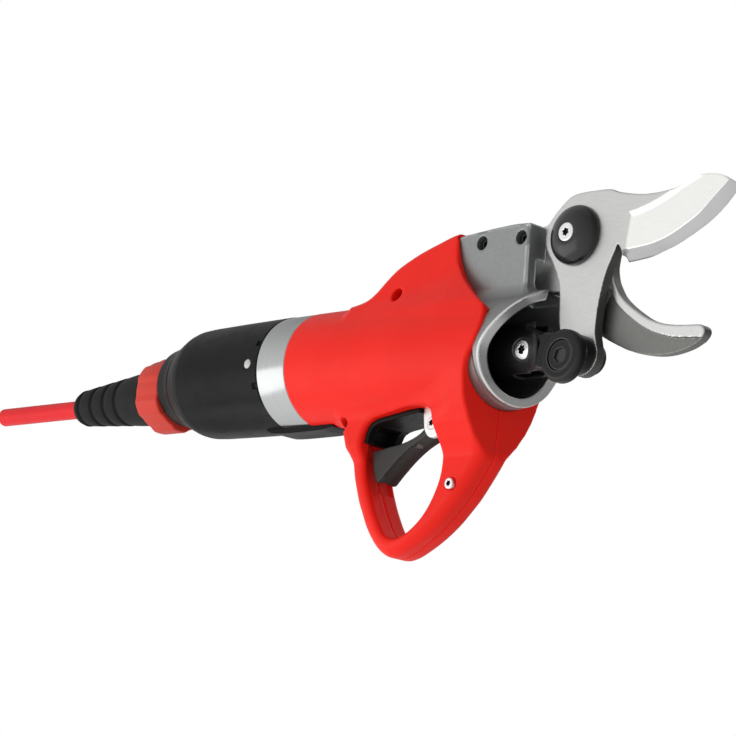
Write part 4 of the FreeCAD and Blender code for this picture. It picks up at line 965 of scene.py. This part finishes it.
def push_rod():
    """Hollow rod, forked at the front round the link's tongue."""
    grid = Grid((56.0, -10.6, -10.6), (128.4, 10.6, 10.6), 0.36)
    x, y, z = grid.axes
    axial = grid.axial()
    nose = np.where(x > ROD_PIN[0], grid.pin((ROD_PIN[0], ROD_PIN[1] + 0.6), 7.2),
                    (x - ROD_PIN[0]) * 0.2 - 7.2)
    field = round_common(axial - 9.5, 57.0 - x, 0.8)
    field = round_common(field, nose, 1.2)
    field = cut(field, common(axial - 7.5, x - 80.0))
    field = cut(field, common(axial - 5.0, x - 116.0))
    field = cut(field, common(np.abs(y) - 3.0, 113.0 - x))
    field = cut(field, grid.pin(ROD_PIN, 2.5))
    field = cut(field, common(grid.pin(ROD_PIN, 3.4), y + 7.6), 0.25)
    place(carved("rod_turned", field, grid), "rod", "black_steel", "push_rod")
    place(fasteners("rod_bolt", [
        screw(ROD_PIN, face=-9.1, under=-7.6, radius=3.3, socket=3.2, depth=1.1, turn=0.2,
              shank_end=8.4, shank=2.45, trim=9.42)], dark=(ROD_PIN, 1.65, -8.9)),
        "rod", "bright_steel", "rod_pin")


# ---- Trigger, liner and bracket ----

TRIGGER = (
    smooth([(48.4, -31.8), (52.5, -31.2), (56.5, -30.6), (62.4, -29.8), (68.2, -28.2),
            (72.7, -25.9), (75.6, -22.4), (79.5, -20.2)], 1.0)
    + arc(TRIGGER_PIN, 3.6, 60, -60, 12)
    + smooth([(80.0, -27.3), (76.6, -27.7), (70.0, -30.2), (64.0, -34.0), (58.2, -38.9),
              (54.9, -42.0), (53.4, -43.2), (52.0, -43.0), (50.6, -40.0), (49.4, -36.4),
              (48.4, -31.8)], 1.0)[:-1])
# Middle of the finger hollow along the trigger's lower face
FINGER_LINE = smooth([(75.4, -29.9), (69.4, -32.8), (64.0, -36.3), (58.2, -41.3),
                      (54.1, -45.4)], 1.0)
LINER_HOLLOW = [(60.0, -22.4), (47.2, -24.0), (45.8, -27.0), (46.6, -33.0), (49.1, -39.6),
                (51.9, -46.4), (51.9, -50.0), (60.0, -50.0)]


def trigger():
    grid = Grid((47.2, -5.4, -45.2), (84.6, 5.4, -19.0), 0.28)
    x, y, z = grid.axes
    field = round_common(grid.poly(TRIGGER), np.abs(y) - 4.4, 0.7)
    field = cut(field, np.sqrt(grid.line(FINGER_LINE) ** 2 + (y * 0.72) ** 2) - 3.6, 0.5)
    field = cut(field, grid.pin(TRIGGER_PIN, 1.55))
    field = cut(field, common(grid.pin(TRIGGER_PIN, 4.4), 1.7 - y))
    field = cut(field, common(between(x, 65.0, 68.0), np.abs(y) - 1.5, -30.6 - z))
    place(carved("lever_moulding", field, grid), "trigger", "trigger_grey", "trigger")


def liner():
    grid = Grid((42.6, -9.6, -48.0), (76.4, 9.6, -15.6), 0.32)
    _, y, z = grid.axes
    side = np.abs(y)
    strip = round_common(grid.poly(LINER), side - 8.15, 0.4)
    field = union(strip, common(grid.poly(CHANNEL), side - 5.6, -grid.poly(OPENING), -29.0 - z))
    field = cut(field, common(grid.poly(LINER_HOLLOW), side - 4.9))
    place(carved("liner_moulding", field, grid), "handle", "black_plastic", "trigger_liner")


def bracket():
    """Two cheeks beside the trigger pin, joined by a block at the top."""
    grid = Grid((73.0, -7.6, -30.2), (86.4, 7.6, -15.8), 0.24)
    x, y, z = grid.axes
    side = np.abs(y)
    cheeks = chamfer_common(grid.poly(CHEEK), np.abs(side - 5.65) - 0.95, 0.3)
    field = union(cheeks, common(between(x, 76.0, 82.0), between(z, -18.6, -17.0), side - 6.6))
    field = cut(field, grid.pin(TRIGGER_PIN, 1.5))
    field = cut(field, common(grid.pin(TRIGGER_PIN, 2.3), y + 6.0))
    place(carved("lever_bracket", field, grid, angle=35), "handle", "bright_aluminium",
          "trigger_bracket", material="bracket_aluminium")


# ---- Band, rear cap, ring, boot and cable; outlines are (x, radius) ----

SLEEVE = [(SLEEVE_REAR, 16.6), (SLEEVE_REAR, 18.3), (-24.7, SLEEVE_RADIUS),
          (0.0, SLEEVE_RADIUS), (0.0, 20.9), (0.4, 21.35), (14.3, 21.35), (14.75, 21.15),
          (BAND_FRONT, 20.8), (BAND_FRONT, SLEEVE_RADIUS), (39.7, SLEEVE_RADIUS), (40.0, 18.3),
          (40.0, 16.6)]
CAP = [(-66.5, 14.5), (-65.5, 14.9), (-63.0, 15.4), (-60.5, 15.9), (-57.5, 16.9),
       (-52.5, 19.0), (-50.0, 20.0), (-47.5, 20.6), (-42.5, 20.9), (-24.0, 21.25), (0.0, 21.5)]
CAP_INSIDE = [(-72, 11.85), (-58.61, 11.85), (-58.6, 14.45), (-53.5, 15.6), (-50, 17.5),
              (-46, 18.3), (-26, 18.65), (2, 18.65)]
RING = [(-79.9, 11.9), (-79.9, 13.7), (-79.75, 14.15), (-79.3, 14.5), (-78.8, 14.6),
        (-67.7, 14.6), (-67.1, 14.5), (-66.7, 14.15), (-66.6, 13.7), (-66.6, 11.9)]
BOOT_END = [(BOOT_REAR, 3.3), (BOOT_REAR, 4.6), (-130.4, 5.1), (-130.1, 5.6), (-129.7, 6.0),
            (-129.2, 6.3), (-128.7, 6.58), (-128.1, 6.8), (-127.5, 6.97), (-127.2, 7.05)]
BOOT_COLLAR = [(-94.0, 10.0), (-90.0, 10.35), (-86.0, 10.6), (-80.6, 10.88), (-80.1, 10.6),
               (BOOT_FRONT, 10.2), (BOOT_FRONT, 3.3)]
# One groove of the boot, from its middle and from the taper's radius there
GROOVE = [(-1.5, -0.02), (-1.1, -0.12), (-0.75, -0.5), (-0.45, -0.78), (0.0, -0.85),
          (0.45, -0.78), (0.75, -0.42), (1.1, 0.02), (1.6, 0.12)]


def sleeve():
    place(lathe("sleeve_turned", SLEEVE, 192, angle=25), "handle", "bright_aluminium",
          "motor_sleeve")


def rear_cap():
    grid = Grid((-68.0, -23.0, -23.0), (1.4, 23.0, 23.0), 0.5014)
    x, y, z = grid.axes
    axial = grid.axial()

    def polar(dir_y, dir_z):
        """Coordinates along a direction from the drive axis and square to it."""
        return y * dir_y + z * dir_z, y * dir_z - z * dir_y

    radius = profile(x, CAP)
    slope = np.gradient(radius, grid.pitch, axis=0)
    field = (axial - radius) / np.sqrt(1 + slope ** 2)
    # long shallow scoop along the lower near side, and its twin on the far side
    scoop_turn = math.radians(214.0)
    for sign in (1.0, -1.0):
        outward, sideways = polar(sign * math.sin(scoop_turn), math.cos(scoop_turn))
        oval = ((x + 24.0) / 38.0) ** 2 + (sideways / 11.0) ** 2
        field = soft_common(field, -(19.75 + 1.9 * np.clip(oval, 0, 4) - outward), 1.2)
    field = round_common(field, CAP_REAR - x, 1.0)
    field = round_common(field, x, 0.35)
    _, connector_z = 0.0, z - CONNECTOR_Z
    field = cut(field, np.where(x < -58.6, np.sqrt(y * y + connector_z ** 2) - 11.85,
                                axial - profile(x, CAP_INSIDE)))
    # two notches in the front rim, towards -y
    for degrees in (68.0, 112.0):
        turn = math.radians(degrees)
        outward, sideways = polar(-math.sin(turn), math.cos(turn))
        field = cut(field, common(-2.6 - x, np.abs(sideways) - 1.1, 20.7 - outward), 0.2)
    # small round hole in the near side
    length = math.hypot(21.0, 0.2)
    outward, sideways = polar(-21.0 / length, 0.2 / length)
    hole = np.sqrt((x + 5.2) ** 2 + sideways ** 2) - 1.75
    field = cut(field, common(hole, 16.0 - outward), 0.25)
    # fine groove round the rear taper
    field = soft_common(field, -common(np.abs(x + 57.0) - 0.35, 16.75 - axial), 0.3)
    place(carved("cap_moulding", field, grid), "handle", "black_plastic", "rear_cap")


def ring_lobes(turn):
    wave = math.cos(6 * turn)
    return 1.0 - 0.0514 * (0.5 - 0.5 * math.copysign(min(1.0, abs(wave) * 2.2), wave))


def ring():
    place(lathe("ring_moulding", RING, 240, centre=(0, CONNECTOR_Z), lobes=ring_lobes, angle=30),
          "lock_ring", "red_ring", "locking_ring")


def boot():
    outline = list(BOOT_END)
    for middle in (-125.3, -116.3, -107.5, -99.2):
        taper = 7.1 + (middle + 128.0) * 0.083
        outline += [(middle + along, taper + out) for along, out in GROOVE]
    droop = (CABLE_Z - CONNECTOR_Z) / (BOOT_FRONT - BOOT_REAR)
    place(lathe("boot_moulding", outline + BOOT_COLLAR, 128, centre=(0, CONNECTOR_Z),
                sag=lambda along: droop * (BOOT_FRONT - along), angle=40),
          "handle", "black_rubber", "strain_relief_boot")


def cable():
    outline = [(-185.0, 2.6), (-185.0, 3.35)]
    outline += [(-184.75 + 2.5 * i, 3.6) for i in range(21)]
    outline += [(BOOT_REAR, 3.6), (-130.4, 3.3), (BOOT_FRONT, 3.3), (BOOT_FRONT, 2.6)]
    place(lathe("cable_jacket", outline, 64, centre=(0, CABLE_Z), angle=30),
          "handle", "red_cable", "power_cable")


for build in (shells, head_casting, anvil_hook, blade, handle_fasteners, link, push_rod,
              trigger, liner, bracket, sleeve, rear_cap, ring, boot, cable):
    build()


# ---- Stage: floor, world, lights, camera (metres, row frame) ----

scene = bpy.context.scene
scene.view_settings.view_transform = "Standard"
scene.view_settings.look = "None"
scene.view_settings.exposure = 0.0


def studio_floor():
    """Pale floor that only the camera sees, and only from above."""
    bpy.ops.mesh.primitive_plane_add(size=8.0, location=(0.1, 0, -0.35))
    floor = bpy.context.object
    floor.name = "studio_floor"
    mat = Material("mat_floor")
    cloud = mat.remap(mat.noise(scale=9.0, detail=3.0), span=(0.3, 0.7), to=(0, 1))
    mat.set(Base_Color=mat.mix(cloud, (0.80, 0.80, 0.79), (0.84, 0.84, 0.83)), Roughness=0.75)
    backfacing = mat.node("ShaderNodeNewGeometry").outputs["Backfacing"]
    camera_ray = mat.node("ShaderNodeLightPath").outputs["Is Camera Ray"]
    hidden = mat.math("MAXIMUM", backfacing, mat.math("SUBTRACT", 1.0, camera_ray))
    clear = mat.node("ShaderNodeBsdfTransparent").outputs[0]
    mixed = mat.node("ShaderNodeMixShader", {0: hidden, 1: mat.shader.outputs[0], 2: clear})
    mat.feed(mat.output.inputs[0], mixed.outputs[0])
    floor.data.materials.append(mat.block)


def studio_world():
    """White to the camera; as a light, brightest from the side opposite dark_side."""
    dark_side = (0.38, 0.62, 0.56)
    lit, dark = 1.14, 0.20
    world = bpy.data.worlds.new("studio_world")
    scene.world = world
    nodes = Nodes(world)
    generated = nodes.node("ShaderNodeTexCoord").outputs["Generated"]
    facing = nodes.node("ShaderNodeVectorMath", {0: generated, 1: dark_side},
                        operation="DOT_PRODUCT").outputs["Value"]
    glow = nodes.remap(facing, span=(-0.9, 0.75), to=(lit, dark))
    white = (1.0, 1.0, 1.0)
    light = nodes.node("ShaderNodeBackground", {0: white, 1: glow}).outputs[0]
    backdrop = nodes.node("ShaderNodeBackground", {0: white, 1: 1.0}).outputs[0]
    camera_ray = nodes.node("ShaderNodeLightPath").outputs["Is Camera Ray"]
    mixed = nodes.node("ShaderNodeMixShader", {0: camera_ray, 1: light, 2: backdrop})
    nodes.node("ShaderNodeOutputWorld", {0: mixed.outputs[0]})


def area_light(name, location, size, power):
    light = bpy.data.lights.new(name, "AREA")
    light.shape = "RECTANGLE"
    light.size, light.size_y = size
    light.energy = power
    obj = bpy.data.objects.new(name, light)
    scene.collection.objects.link(obj)
    obj.location = location
    obj.rotation_mode = "QUATERNION"
    aim = Vector((0.17, 0, 0)) - Vector(location)
    obj.rotation_quaternion = aim.to_track_quat("-Z", "Y")


def photo_camera():
    data = bpy.data.cameras.new("photo_camera")
    camera = bpy.data.objects.new("photo_camera", data)
    scene.collection.objects.link(camera)
    # columns: right, up, backward, place
    camera.matrix_world = Matrix((
        (0.67823, 0.07547, 0.73097, SHIFT_X * 0.001 + 0.748),
        (0.72699, -0.21406, -0.65244, -0.635),
        (0.10723, 0.97391, -0.20005, SHIFT_Z * 0.001 - 0.1946),
        (0, 0, 0, 1)))
    data.lens = 133.5
    data.sensor_width = 36.0
    data.clip_start = 0.01
    data.clip_end = 20.0
    scene.camera = camera


studio_floor()
studio_world()
area_light("key_side", location=(-0.36, -0.74, -0.24), size=(1.0, 0.55), power=1.7)
area_light("top_soft", location=(0.1, -0.15, 0.9), size=(0.9, 0.5), power=0.2)
area_light("far_fill", location=(0.2, 1.0, 0.55), size=(0.9, 0.6), power=1.5)
photo_camera()
